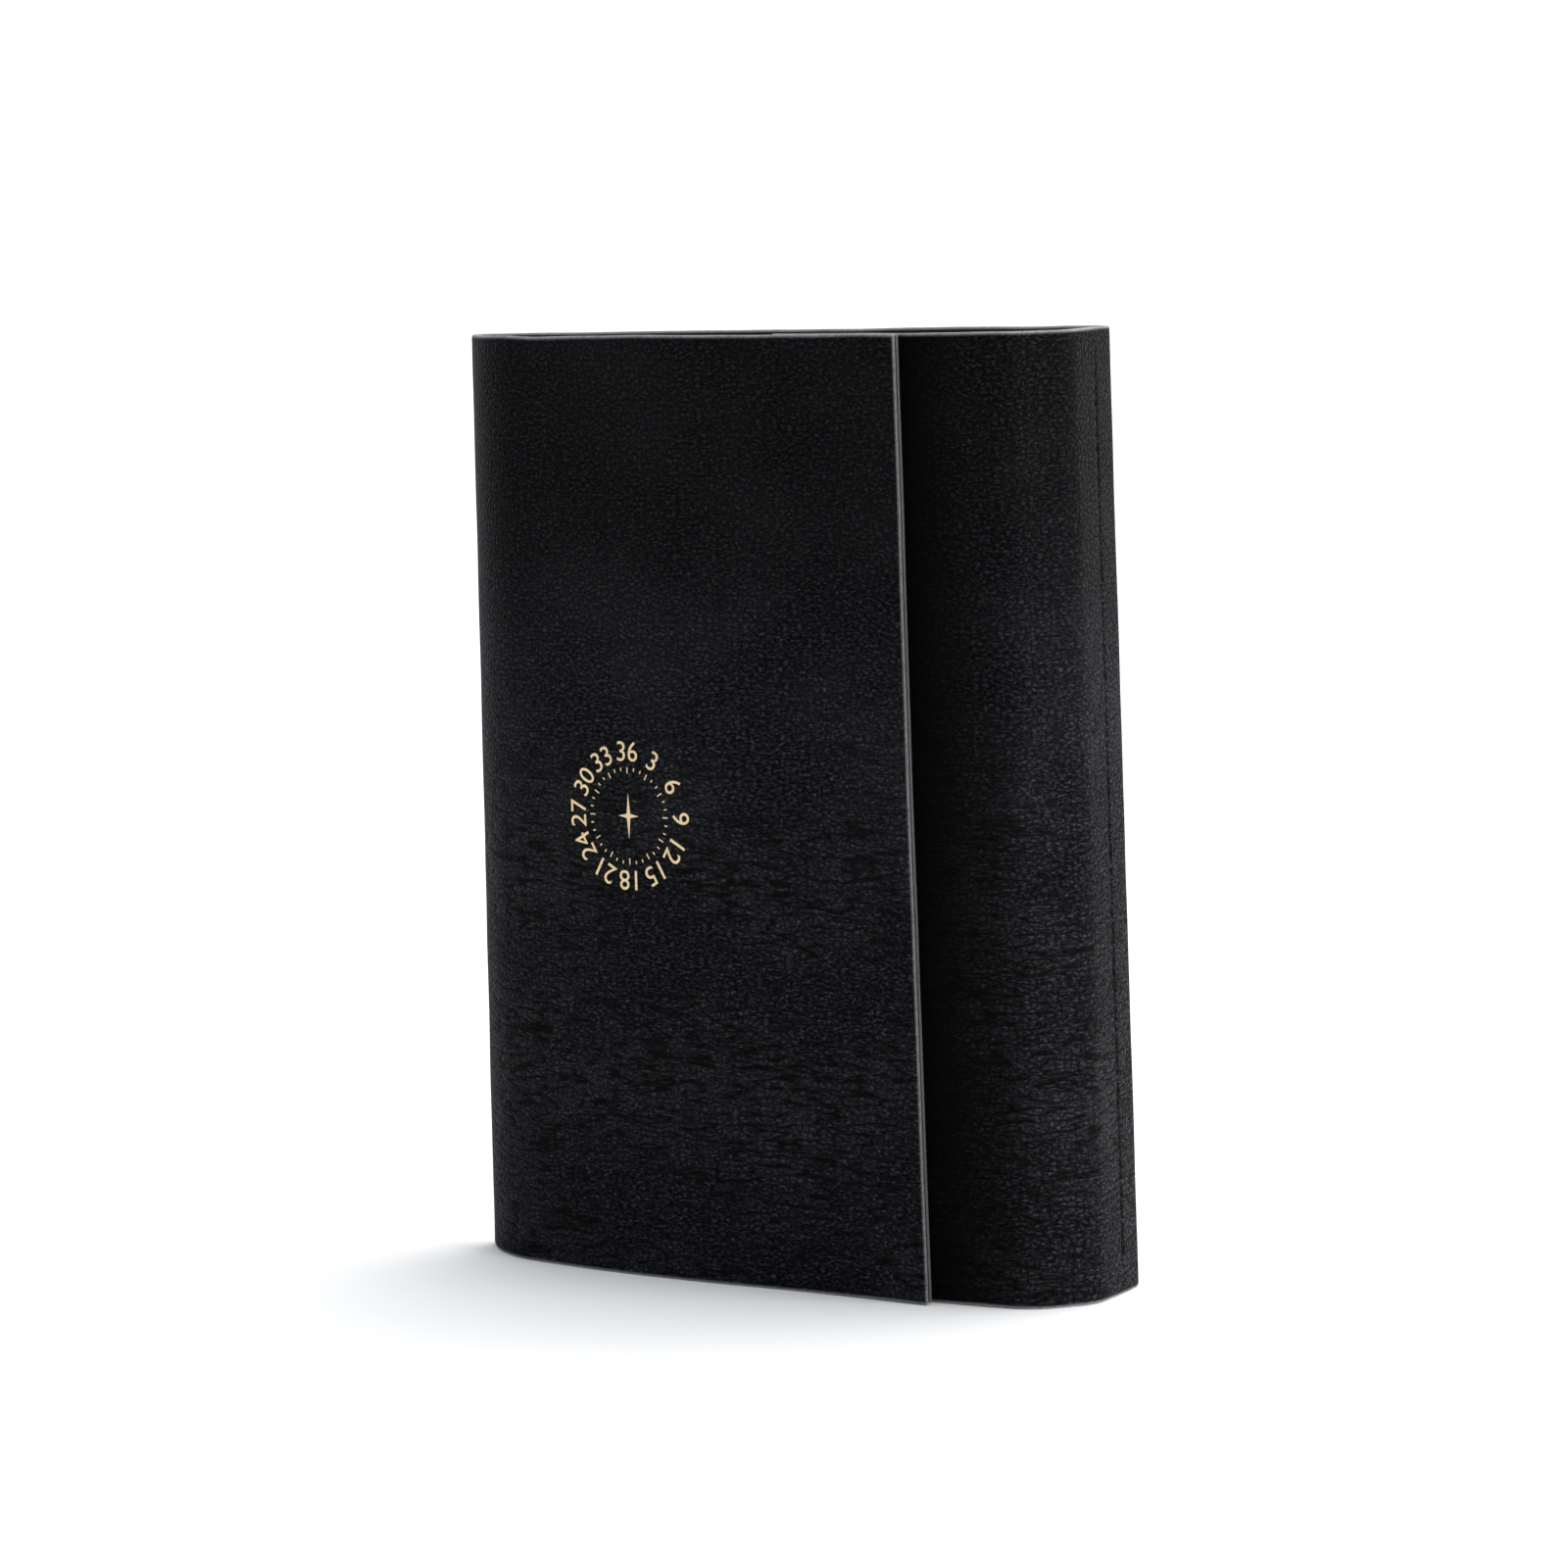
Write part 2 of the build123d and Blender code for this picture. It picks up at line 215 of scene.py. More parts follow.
def lip_shift(distance, z):
    """The flap's free edge runs further at the foot than at the head."""
    shape = bpy.context.scene.logbook_shape
    share = ease(distance, SHEET_LENGTH - 40 * MM, SHEET_LENGTH)
    return share * (shape.lip_foot * (1 - z / HEIGHT) - shape.lip_head * z / HEIGHT)


def head_wave(distance, z):
    """Slight rise and fall of the cut edge at the head and the foot."""
    shape = bpy.context.scene.logbook_shape
    on_front = ease(distance, run_start("left_fold"), run_start("flap_body"))
    near_head = ease(z, HEIGHT * 0.8, HEIGHT) * (0.3 + 0.7 * on_front)
    near_foot = 1 - ease(z, 0.0, HEIGHT * 0.1)
    head = uneven(distance * 38, 4.2, 0.0) + 0.5 * uneven(distance * 90, 9.0, 0.0)
    foot = abs(uneven(distance * 30, 2.6, 5.0))
    return shape.edge_wave * (near_head * head + 0.5 * near_foot * foot)


def on_sheet(distance, z, depth):
    """Point of the uneven sheet at a distance along it, a height and a depth in from its outer face."""
    x, y, heading = walk(distance, START)
    inward = radians(heading + 90)
    along = radians(heading)
    deep = depth - swell(distance, z)
    deep += seam_pull(distance, z) * (1 - ease(depth, 0.0, LEATHER))
    slip = lip_shift(distance, z)
    px = x + deep * cos(inward) + slip * cos(along)
    py = y + deep * sin(inward) + slip * sin(along)
    return Vector((px + lean(px, py, z), py, z + head_wave(distance, z)))


# ---------------------------------------------------------------- mesh helpers
def new_object(name, mesh):
    """Links a new object."""
    made = bpy.data.objects.new(name, mesh)
    bpy.context.scene.collection.objects.link(made)
    return made


def from_bmesh(name, work):
    """Turns a working mesh into an object."""
    mesh = bpy.data.meshes.new(name)
    work.to_mesh(mesh)
    work.free()
    return new_object(name, mesh)


def turns(count):
    """Angles of a full turn in equal steps."""
    return [2 * pi * index / count for index in range(count)]


def skin(work, loops):
    """Faces between closed loops of equal length."""
    for first, second in zip(loops, loops[1:]):
        for index in range(len(first)):
            before = index - 1
            work.faces.new((first[before], first[index], second[index], second[before]))


def paint(obj, material):
    """Gives an object its material."""
    obj.data.materials.clear()
    obj.data.materials.append(material)


def edge_steps(reach):
    """Distances from a rounded edge, close together where it curves."""
    steps = 5
    return [reach * (1 - cos(pi / 2 * index / steps)) for index in range(steps + 1)]


def edge_inset(distance, edge):
    """How far a rounded edge pulls a face in, at a distance from the edge."""
    reach, depth = edge
    if distance >= reach:
        return 0.0
    return depth * (1 - sqrt(1 - (1 - distance / reach) ** 2))


def sheet_stations(first, last, free, reach):
    """Distances along the sheet for one piece: close in the folds, at the seam and at free edges."""
    fine = {"right_fold": 0.55 * MM, "left_fold": 0.55 * MM, "shoulder_side": 0.8 * MM}
    low = first + reach if free[0] else first
    high = last - reach if free[1] else last
    marks = []
    passed = 0.0
    for run, (length, _) in RUNS.items():
        begin, end = max(low, passed), min(high, passed + length)
        if end > begin:
            marks += spaced(begin, end, fine.get(run, 1.25 * MM))
        passed += length
    if first < SEAM_AT < last:
        marks += spaced(SEAM_AT - 1.4 * MM, SEAM_AT + 1.4 * MM, 0.2 * MM)
    kept = []
    for mark in sorted(marks):
        if not kept or mark - kept[-1] > 0.13 * MM:
            kept.append(mark)
    kept[0], kept[-1] = low, high
    before = [first + value for value in edge_steps(reach)][:-1] if free[0] else []
    after = [last - value for value in reversed(edge_steps(reach))][1:] if free[1] else []
    return before + kept + after


def sheet_heights(low, high, reach, pitch):
    """Heights for one piece, close together at its two rounded edges."""
    foot = [low + value for value in edge_steps(reach)]
    head = [high - value for value in reversed(edge_steps(reach))]
    return foot + spaced(low + reach, high - reach, pitch)[1:-1] + head


def sheet_piece(name, span, free, depths, ends, edge, pitch):
    """Closed shell of a stretch of the sheet between two depths; free says which ends are free edges."""
    first, last = span
    low, high = ends
    reach = edge[0]
    stations = sheet_stations(first, last, free, reach)
    heights = sheet_heights(low, high, reach, pitch)
    columns, rows = len(stations), len(heights)
    verts, places, rims = [], [], []
    for depth, sign in zip(depths, (1, -1)):
        for distance in stations:
            from_end = min(distance - first if free[0] else 1.0, last - distance if free[1] else 1.0)
            for z in heights:
                from_edge = min(z - low, high - z)
                inset = max(edge_inset(from_end, edge), edge_inset(from_edge, edge))
                verts.append(on_sheet(distance, z, depth + sign * inset))
                places.append((distance, z, depth))
                # rim mask: where a cut edge is painted lighter, as rubbed fibres and painted highlight
                end_rim = END_WEAR_AND_HIGHLIGHT * (1 - ease(from_end, 0.0, 0.5 * reach))
                rims.append(max(end_rim, 1 - ease(from_edge, 0.0, 0.9 * reach)))
    back = columns * rows
    faces = []
    for column in range(columns - 1):
        for row in range(rows - 1):
            corner = column * rows + row
            front = (corner, corner + rows, corner + rows + 1, corner + 1)
            faces.append(front)
            faces.append(tuple(index + back for index in reversed(front)))
    loop = [column * rows for column in range(columns)]
    loop += [(columns - 1) * rows + row for row in range(1, rows)]
    loop += [column * rows + rows - 1 for column in reversed(range(columns - 1))]
    loop += list(reversed(range(1, rows - 1)))
    for here, following in zip(loop, loop[1:] + loop[:1]):
        faces.append((following, here, here + back, following + back))
    mesh = bpy.data.meshes.new(name)
    mesh.from_pydata(verts, [], faces)
    mesh.attributes.new("place", "FLOAT_VECTOR", "POINT").data.foreach_set("vector", sum(places, ()))
    mesh.attributes.new("rim", "FLOAT", "POINT").data.foreach_set("value", rims)
    mesh.shade_smooth()
    sharpen_caps(mesh, columns, rows, free)
    return new_object(name, mesh)


def sharpen_caps(mesh, columns, rows, free):
    """Sharp edges round an end that is not free, so that the next piece meets it without a shade line."""
    offset = columns * rows
    caps = []
    if not free[0]:
        caps.append(set(range(rows)) | set(range(offset, offset + rows)))
    if not free[1]:
        last = (columns - 1) * rows
        caps.append(set(range(last, last + rows)) | set(range(offset + last, offset + last + rows)))
    for edge in mesh.edges:
        a, b = edge.vertices
        if any(a in cap and b in cap for cap in caps):
            edge.use_edge_sharp = True


def soft_copy(node, name, bevel, segments=3, shaped=False):
    """New piece with the shape of a CAD node, its sharp edges rounded, following the sheet where shaped."""
    work = bmesh.new()
    work.from_mesh(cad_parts[node].data)
    bmesh.ops.remove_doubles(work, verts=work.verts, dist=1e-6)
    bmesh.ops.dissolve_limit(work, angle_limit=radians(1.0), verts=work.verts, edges=work.edges)
    joined = [edge for edge in work.edges if len(edge.link_faces) == 2]
    sharp = [edge for edge in joined if edge.calc_face_angle(0) > radians(35)]
    bmesh.ops.bevel(work, geom=sharp, offset=bevel, segments=segments, profile=0.5,
                    affect="EDGES", clamp_overlap=True)
    bmesh.ops.triangulate(work, faces=[face for face in work.faces if len(face.verts) > 4])
    made = from_bmesh(name, work)
    if shaped:
        for vertex in made.data.vertices:
            vertex.co.x += lean(*vertex.co)
    made.data.shade_smooth()
    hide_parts(node)
    return made


# ---------------------------------------------------------------- node helpers
def plug(tree, target, value):
    """Links a socket to an input, or sets the input to a plain value."""
    if isinstance(value, bpy.types.NodeSocket):
        tree.links.new(value, target)
    else:
        target.default_value = value


def add(tree, kind, inputs=None, **settings):
    """New node with its settings, and its inputs set or linked by name or number."""
    made = tree.nodes.new(kind)
    for key, value in settings.items():
        setattr(made, key, value)
    for key, value in (inputs or {}).items():
        plug(tree, made.inputs[key], value)
    return made


def math(tree, operation, a, b=0.5, clamp=False):
    """Math node of one or two values, each a number or a socket."""
    return add(tree, "ShaderNodeMath", {0: a, 1: b}, operation=operation, use_clamp=clamp).outputs[0]


def times(tree, first, *others):
    """Product of values, each a number or a socket."""
    for other in others:
        first = math(tree, "MULTIPLY", first, other)
    return first


def ramp(tree, value, low, high, to_low=0.0, to_high=1.0):
    """Smooth step of a value between two limits."""
    limits = {"Value": value, "From Min": low, "From Max": high, "To Min": to_low, "To Max": to_high}
    return add(tree, "ShaderNodeMapRange", limits, interpolation_type="SMOOTHSTEP").outputs["Result"]


def blend_colour(tree, share, first, second):
    """Mix of two colours, each a colour or a socket."""
    inputs = {"Factor": share}
    for place, colour in ((6, first), (7, second)):
        inputs[place] = colour if isinstance(colour, bpy.types.NodeSocket) else (*colour, 1.0)
    return add(tree, "ShaderNodeMix", inputs, data_type="RGBA").outputs[2]


def vector_math(tree, operation, a, b):
    """Vector math node of two vectors."""
    return add(tree, "ShaderNodeVectorMath", {0: a, 1: b}, operation=operation)


def parts(tree, vector):
    """The three parts of a vector, by name."""
    return add(tree, "ShaderNodeSeparateXYZ", {0: vector}).outputs


def scaled(tree, vector, scale):
    """Vector multiplied by three factors."""
    return vector_math(tree, "MULTIPLY", vector, scale).outputs[0]


def cloud(tree, vector, scale, detail=3.0, roughness=0.5):
    """Noise value at a vector."""
    inputs = {"Vector": vector, "Scale": scale, "Detail": detail, "Roughness": roughness}
    return add(tree, "ShaderNodeTexNoise", inputs).outputs["Fac"]


def cell_edge(tree, vector, scale):
    """Distance to the nearest edge between flat cells."""
    inputs = {"Vector": vector, "Scale": scale}
    made = add(tree, "ShaderNodeTexVoronoi", inputs, feature="DISTANCE_TO_EDGE", voronoi_dimensions="2D")
    return made.outputs["Distance"]


def group(name, inputs, outputs, fill):
    """Shader node group made once, with named float or vector sockets."""
    if name in bpy.data.node_groups:
        return bpy.data.node_groups[name]
    tree = bpy.data.node_groups.new(name, "ShaderNodeTree")
    for socket, kind, default in inputs:
        made = tree.interface.new_socket(socket, in_out="INPUT", socket_type=kind)
        if default is not None:
            made.default_value = default
    for socket, kind in outputs:
        tree.interface.new_socket(socket, in_out="OUTPUT", socket_type=kind)
    entry = add(tree, "NodeGroupInput")
    leave = add(tree, "NodeGroupOutput")
    fill(tree, entry.outputs, leave.inputs)
    return tree


def give(tree, targets, **values):
    """Links or sets inputs by name; an underscore in a name stands for a space."""
    for key, value in values.items():
        plug(tree, targets[key.replace("_", " ")], value)


def use(tree, made, **values):
    """Places a group in a material and sets or links its inputs."""
    placed = add(tree, "ShaderNodeGroup", node_tree=made)
    give(tree, placed.inputs, **values)
    return placed.outputs


# waves per metre of the flat hide
WARPS = 190.0
PEBBLES = 720.0
CREASES = 430.0
BREAKS = 130.0
PATCHES = 27.0
FIBRES = 1450.0


def hide_grain():
    """Pebbled grain with creases that lie across the hide."""

    def fill(tree, entry, leave):
        place = entry["Vector"]
        warp = add(tree, "ShaderNodeTexNoise", {"Vector": place, "Scale": WARPS, "Detail": 3.0})
        centred = vector_math(tree, "SUBTRACT", warp.outputs["Color"], (0.5, 0.5, 0.5)).outputs[0]
        shift = scaled(tree, centred, (1.8 * MM, 1.2 * MM, 0.0))
        moved = vector_math(tree, "ADD", place, shift).outputs[0]
        pebble = cell_edge(tree, scaled(tree, moved, (0.8, 1.0, 1.0)), PEBBLES)
        crease = cloud(tree, scaled(tree, moved, (0.2, 1.0, 1.0)), CREASES, 1.0)
        from_line = math(tree, "ABSOLUTE", math(tree, "SUBTRACT", crease, 0.5))
        line = ramp(tree, from_line, 0.0, 0.1, 1.0, 0.0)
        patches = cloud(tree, scaled(tree, place, (1.0, 1.25, 1.0)), PATCHES, 5.0, 0.6)
        broken = ramp(tree, cloud(tree, scaled(tree, place, (1.0, 2.2, 1.0)), BREAKS), 0.32, 0.48)
        up = parts(tree, place)["Y"]
        lower = ramp(tree, up, entry["Fade Low"], entry["Fade High"], 1.0, 0.25)
        worn = ramp(tree, patches, 0.36, 0.56, 0.7, 1.0)
        mask = times(tree, line, broken, lower, worn, entry["Creases"])
        cell = times(tree, ramp(tree, pebble, 0.0, 0.3), entry["Pebble"])
        fibre = cloud(tree, scaled(tree, place, (0.5, 1.0, 1.0)), FIBRES, 4.0, 0.64)
        raised = math(tree, "ADD", cell, times(tree, fibre, 0.5))
        height = math(tree, "SUBTRACT", raised, times(tree, mask, 2.2))
        give(tree, leave, Height=height, Crease=mask, Cell=cell, Patches=patches, Fibre=fibre)

    inputs = (
        ("Vector", "NodeSocketVector", None),
        ("Pebble", "NodeSocketFloat", 0.5),
        ("Creases", "NodeSocketFloat", 1.0),
        ("Fade Low", "NodeSocketFloat", 0.1),
        ("Fade High", "NodeSocketFloat", 0.2),
    )
    outputs = tuple((name, "NodeSocketFloat") for name in ("Height", "Crease", "Cell", "Patches", "Fibre"))
    return group("Hide grain", inputs, outputs, fill)


def plain_weave():
    """Plain weave of warp and weft threads: height and a light and dark thread mask."""

    def fill(tree, entry, leave):
        place = parts(tree, entry["Vector"])
        waves = []
        for axis in ("X", "Z"):
            angle = times(tree, place[axis], entry["Threads"])
            waves.append(math(tree, "ABSOLUTE", math(tree, "SINE", angle)))
        cross = times(tree, *waves)
        slub = cloud(tree, entry["Vector"], 420.0)
        height = math(tree, "ADD", cross, times(tree, slub, 0.6))
        give(tree, leave, Height=height, Thread=times(tree, cross, slub))

    inputs = (("Vector", "NodeSocketVector", None), ("Threads", "NodeSocketFloat", 5200.0))
    outputs = (("Height", "NodeSocketFloat"), ("Thread", "NodeSocketFloat"))
    return group("Plain weave", inputs, outputs, fill)


def start_material(name, roughness, specular=0.3):
    """Material with a Principled shader, its tree and that shader."""
    material = bpy.data.materials.new(name)
    material.use_nodes = True
    tree = material.node_tree
    shader = tree.nodes["Principled BSDF"]
    give(tree, shader.inputs, Roughness=roughness, Specular_IOR_Level=specular)
    return material, tree, shader


def add_bump(tree, shader, height, strength, distance):
    """Bump from a height socket."""
    bump = add(tree, "ShaderNodeBump", {"Strength": strength, "Distance": distance, "Height": height})
    give(tree, shader.inputs, Normal=bump.outputs["Normal"])


def two_tone(tree, shader, share, dark, light):
    """Colours a shader with a mix of two tones."""
    give(tree, shader.inputs, Base_Color=blend_colour(tree, share, dark, light))


def sheet_place(tree):
    """Place on the flat hide, carried by each leather mesh."""
    return add(tree, "ShaderNodeAttribute", attribute_name="place").outputs["Vector"]


def object_place(tree):
    """Place in the object's own space."""
    return add(tree, "ShaderNodeTexCoord").outputs["Object"]


def edge_wear():
    """Lighter tone of a cut edge, partly rubbed fibres and partly painted highlight: closeness to the edge,
    broken up along it.
    """

    def fill(tree, entry, leave):
        broken = ramp(tree, cloud(tree, entry["Vector"], 700.0, 4.0, 0.65), 0.25, 0.6, 0.6, 1.0)
        give(tree, leave, Wear=math(tree, "MULTIPLY", entry["Rim"], broken, True))

    inputs = (("Vector", "NodeSocketVector", None), ("Rim", "NodeSocketFloat", 0.0))
    return group("Edge wear and highlight", inputs, (("Wear", "NodeSocketFloat"),), fill)


def worn_rim(tree):
    """Rubbed fibres and painted highlight at the cut edges of a leather mesh."""
    near = add(tree, "ShaderNodeAttribute", attribute_name="rim").outputs["Fac"]
    return use(tree, edge_wear(), Vector=sheet_place(tree), Rim=near)["Wear"]


def pressed_nap(tree):
    """Stretch of the wing beside the flap's free edge, darkened as painted shade that the flap's edge casts
    on the wing.
    """
    place = parts(tree, sheet_place(tree))
    slant = times(tree, place["Y"], bpy.context.scene.logbook_finish.strip_slant)
    from_lip = math(tree, "SUBTRACT", math(tree, "ADD", place["X"], slant), LIP_ON_WING)
    # painted shade: black close to the flap's free edge, fading out some 38 mm along the wing
    right = ramp(tree, from_lip, 2.0 * MM, 38.0 * MM, 1.0, 0.0)
    left = ramp(tree, from_lip, -16.0 * MM, -6.0 * MM)
    return times(tree, right, left, 0.96)


def laid_nap(tree):
    """Darker towards the head, together with the painted shade beside the flap's free edge."""
    up = parts(tree, sheet_place(tree))["Y"]
    head = ramp(tree, up, 0.55 * HEIGHT, 0.85 * HEIGHT, 0.0, 0.55)
    return math(tree, "MAXIMUM", head, pressed_nap(tree), True)


def nubuck():
    """Black nubuck: brushed and velvety, with painted shade in its grain valleys and creases and beside the
    flap's free edge, and lighter grey at its cut edges from rubbed fibres and painted highlight.
    """
    finish = bpy.context.scene.logbook_finish
    material, tree, shader = start_material("Black nubuck", 0.9, 0.05)
    give(tree, shader.inputs, Sheen_Weight=finish.nap, Sheen_Roughness=0.32,
         Sheen_Tint=(0.97, 0.98, 1.0, 1.0))
    grain = use(tree, hide_grain(), Vector=sheet_place(tree), Pebble=0.7, Creases=finish.creases,
                Fade_Low=0.38 * HEIGHT, Fade_High=0.85 * HEIGHT)
    patches = ramp(tree, grain["Patches"], 0.38, 0.66)
    colour = blend_colour(tree, patches, finish.hide_dark, finish.hide_light)
    # raised fibres are lighter: partly the nap's own tone, partly a painted highlight on their tops
    fibre_tone_and_highlight = tuple(4.2 * value for value in finish.hide_light)
    colour = blend_colour(tree, ramp(tree, grain["Fibre"], 0.43, 0.7, 0.0, 0.9), colour, fibre_tone_and_highlight)
    # painted shade: pebble valleys and creases are darkened in the colour, in place of the shade that falls
    # in them
    valley_shade = ramp(tree, grain["Cell"], 0.0, 0.68, 0.66, 0.0)
    painted_furrow_shade = math(tree, "MAXIMUM", valley_shade, times(tree, grain["Crease"], 0.95), True)
    colour = blend_colour(tree, painted_furrow_shade, colour, (0.0008, 0.0008, 0.0009))
    # darkens the nubuck towards the head and adds the painted shade beside the flap's free edge
    colour = blend_colour(tree, laid_nap(tree), colour, (0.0005, 0.0005, 0.0005))
    # cut edges painted lighter grey: rubbed fibres and painted highlight where the rounded edges catch the
    # light
    rim = worn_rim(tree)
    colour = blend_colour(tree, rim, colour, finish.edge)
    give(tree, shader.inputs, Base_Color=colour, Roughness=ramp(tree, rim, 0.0, 1.0, 0.93, 0.5))
    soften = ramp(tree, rim, 0.0, 0.8, 1.0, 0.25)
    add_bump(tree, shader, times(tree, grain["Height"], soften), 0.8, 0.2 * MM)
    return material


def lining_leather():
    """Smooth black lining leather."""
    finish = bpy.context.scene.logbook_finish
    material, tree, shader = start_material("Black lining leather", 0.55, 0.25)
    grain = use(tree, hide_grain(), Vector=sheet_place(tree), Pebble=0.5, Creases=0.12,
                Fade_Low=0.45 * HEIGHT, Fade_High=0.78 * HEIGHT)
    patches = ramp(tree, grain["Patches"], 0.3, 0.7)
    colour = blend_colour(tree, patches, (0.009, 0.009, 0.0095), (0.017, 0.0165, 0.017))
    # the lining's cut edges painted lighter: rubbed fibres and painted highlight
    rubbed = tuple(0.5 * value for value in finish.edge)
    colour = blend_colour(tree, worn_rim(tree), colour, rubbed)
    give(tree, shader.inputs, Base_Color=colour, Roughness=ramp(tree, grain["Fibre"], 0.3, 0.7, 0.48, 0.62))
    add_bump(tree, shader, grain["Height"], 0.35, 0.08 * MM)
    return material


def fitting_leather():
    """Thin black leather of the sleeve, the pocket and the pen loops."""
    material, tree, shader = start_material("Thin black leather", 0.6, 0.3)
    place = parts(tree, object_place(tree))
    across = math(tree, "ADD", place["X"], place["Y"])
    flat = add(tree, "ShaderNodeCombineXYZ", {"X": across, "Y": place["Z"]})
    grain = use(tree, hide_grain(), Vector=flat.outputs[0], Pebble=0.6, Creases=0.2,
                Fade_Low=0.3 * HEIGHT, Fade_High=HEIGHT)
    patches = ramp(tree, grain["Patches"], 0.3, 0.7)
    colour = blend_colour(tree, patches, (0.010, 0.0096, 0.0096), (0.02, 0.019, 0.019))
    give(tree, shader.inputs, Base_Color=colour, Roughness=ramp(tree, grain["Fibre"], 0.3, 0.7, 0.5, 0.68))
    add_bump(tree, shader, grain["Height"], 0.4, 0.1 * MM)
    return material


def waxed_thread():
    """Black waxed thread, twisted."""
    material, tree, shader = start_material("Black waxed thread", 0.6, 0.12)
    inputs = {"Vector": object_place(tree), "Scale": 900.0, "Distortion": 0.4}
    twist = add(tree, "ShaderNodeTexWave", inputs, bands_direction="DIAGONAL").outputs["Fac"]
    two_tone(tree, shader, twist, (0.0015, 0.0015, 0.0015), (0.007, 0.007, 0.0075))
    add_bump(tree, shader, twist, 0.6, 0.08 * MM)
    return material


def gold_foil():
    """Warm gold foil, a little worn into the grain under it."""
    finish = bpy.context.scene.logbook_finish
    material, tree, shader = start_material("Warm gold foil", 0.36, 0.5)
    wear = cloud(tree, object_place(tree), 2600.0, 3.0, 0.6)
    colour = blend_colour(tree, ramp(tree, wear, 0.3, 0.7), finish.foil_dark, finish.foil)
    give(tree, shader.inputs, Base_Color=colour, Roughness=ramp(tree, wear, 0.3, 0.7, 0.5, 0.32))
    give(tree, shader.inputs, Metallic=ramp(tree, wear, 0.3, 0.7, 0.75, 0.9))
    add_bump(tree, shader, wear, 0.3, 0.05 * MM)
    return material


def plated_steel():
    """Thin plated steel disc."""
    material, tree, shader = start_material("Plated steel", 0.3, 0.5)
    give(tree, shader.inputs, Metallic=1.0)
    turned = cloud(tree, scaled(tree, object_place(tree), (1.0, 8.0, 1.0)), 800.0)
    colour = blend_colour(tree, turned, (0.42, 0.42, 0.43), (0.62, 0.62, 0.63))
    give(tree, shader.inputs, Base_Color=colour, Roughness=ramp(tree, turned, 0.3, 0.7, 0.22, 0.4))
    return material


def book_cloth():
    """Navy book cloth on thin board, rubbed lighter in patches."""
    finish = bpy.context.scene.logbook_finish
    material, tree, shader = start_material("Navy book cloth", 0.78, 0.25)
    weave = use(tree, plain_weave(), Vector=object_place(tree), Threads=6200.0)
    dark = tuple(0.45 * value for value in finish.book_cloth)
    colour = blend_colour(tree, ramp(tree, weave["Thread"], 0.0, 0.5), dark, finish.book_cloth)
    rub = ramp(tree, cloud(tree, object_place(tree), 60.0, 4.0), 0.55, 0.8, 0.0, 0.35)
    two_tone(tree, shader, rub, colour, (0.09, 0.11, 0.16))
    add_bump(tree, shader, weave["Height"], 0.5, 0.12 * MM)
    return material


def cotton_cloth():
    """Undyed cotton of the spine cloth, tapes and bands."""
    material, tree, shader = start_material("Undyed cotton", 0.85, 0.2)
    weave = use(tree, plain_weave(), Vector=object_place(tree), Threads=7500.0)
    thread = ramp(tree, weave["Thread"], 0.0, 0.5)
    two_tone(tree, shader, thread, (0.5, 0.46, 0.37), (0.76, 0.72, 0.62))
    add_bump(tree, shader, weave["Height"], 0.5, 0.1 * MM)
    return material


def ledger_paper():
    """Cream ledger paper: leaf lines on the edges of a section, ruled lines and columns on its face."""
    finish = bpy.context.scene.logbook_finish
    material, tree, shader = start_material("Cream ledger paper", 0.8, 0.2)
    place = object_place(tree)
    across = parts(tree, place)
    facing = parts(tree, add(tree, "ShaderNodeTexCoord").outputs["Normal"])["Y"]
    on_face = ramp(tree, math(tree, "ABSOLUTE", facing), 0.8, 0.95)
    layers = cloud(tree, scaled(tree, place, (40.0, 9000.0, 40.0)), 1.0, 3.0, 0.7)
    leaves = ramp(tree, layers, 0.36, 0.56)
    fibre = cloud(tree, place, 900.0, 4.0)
    paper = blend_colour(tree, fibre, tuple(0.93 * value for value in finish.paper), finish.paper)
    edges = blend_colour(tree, leaves, tuple(0.55 * value for value in finish.paper), paper)
    rules = ruled(tree, across["Z"], 6.0 * MM, 0.16 * MM)
    columns = ruled(tree, across["X"], 16.0 * MM, 0.2 * MM)
    ink = math(tree, "MAXIMUM", rules, columns)
    face = blend_colour(tree, times(tree, ink, 0.75), paper, (0.22, 0.32, 0.42))
    two_tone(tree, shader, on_face, edges, face)
    height = times(tree, leaves, math(tree, "SUBTRACT", 1.0, on_face))
    add_bump(tree, shader, height, 0.5, 0.08 * MM)
    return material


def ruled(tree, value, pitch, width):
    """Thin lines at a pitch along one direction."""
    turn = math(tree, "FRACT", math(tree, "DIVIDE", math(tree, "ADD", value, 1.0), pitch))
    from_line = math(tree, "ABSOLUTE", math(tree, "SUBTRACT", turn, 0.5))
    return ramp(tree, from_line, 0.0, width / pitch, 1.0, 0.0)


def end_paper():
    """Pale grey end paper with soft flecks."""
    material, tree, shader = start_material("Grey end paper", 0.75, 0.25)
    fleck = cloud(tree, object_place(tree), 700.0, 5.0, 0.65)
    two_tone(tree, shader, ramp(tree, fleck, 0.35, 0.7), (0.36, 0.38, 0.4), (0.52, 0.54, 0.56))
    add_bump(tree, shader, fleck, 0.2, 0.05 * MM)
    return material


def studio_white():
    """Pale floor, a little uneven."""
    material, tree, shader = start_material("Pale studio floor", 0.9, 0.1)
    tone = cloud(tree, object_place(tree), 3.0, 2.0)
    two_tone(tree, shader, tone, (0.93, 0.93, 0.93), (0.96, 0.96, 0.96))
    return material


def shared(maker):
    """Material of a maker function, made once."""
    made = bpy.context.scene.get("made_" + maker.__name__)
    if made is None:
        made = maker()
        bpy.context.scene["made_" + maker.__name__] = made
    return made


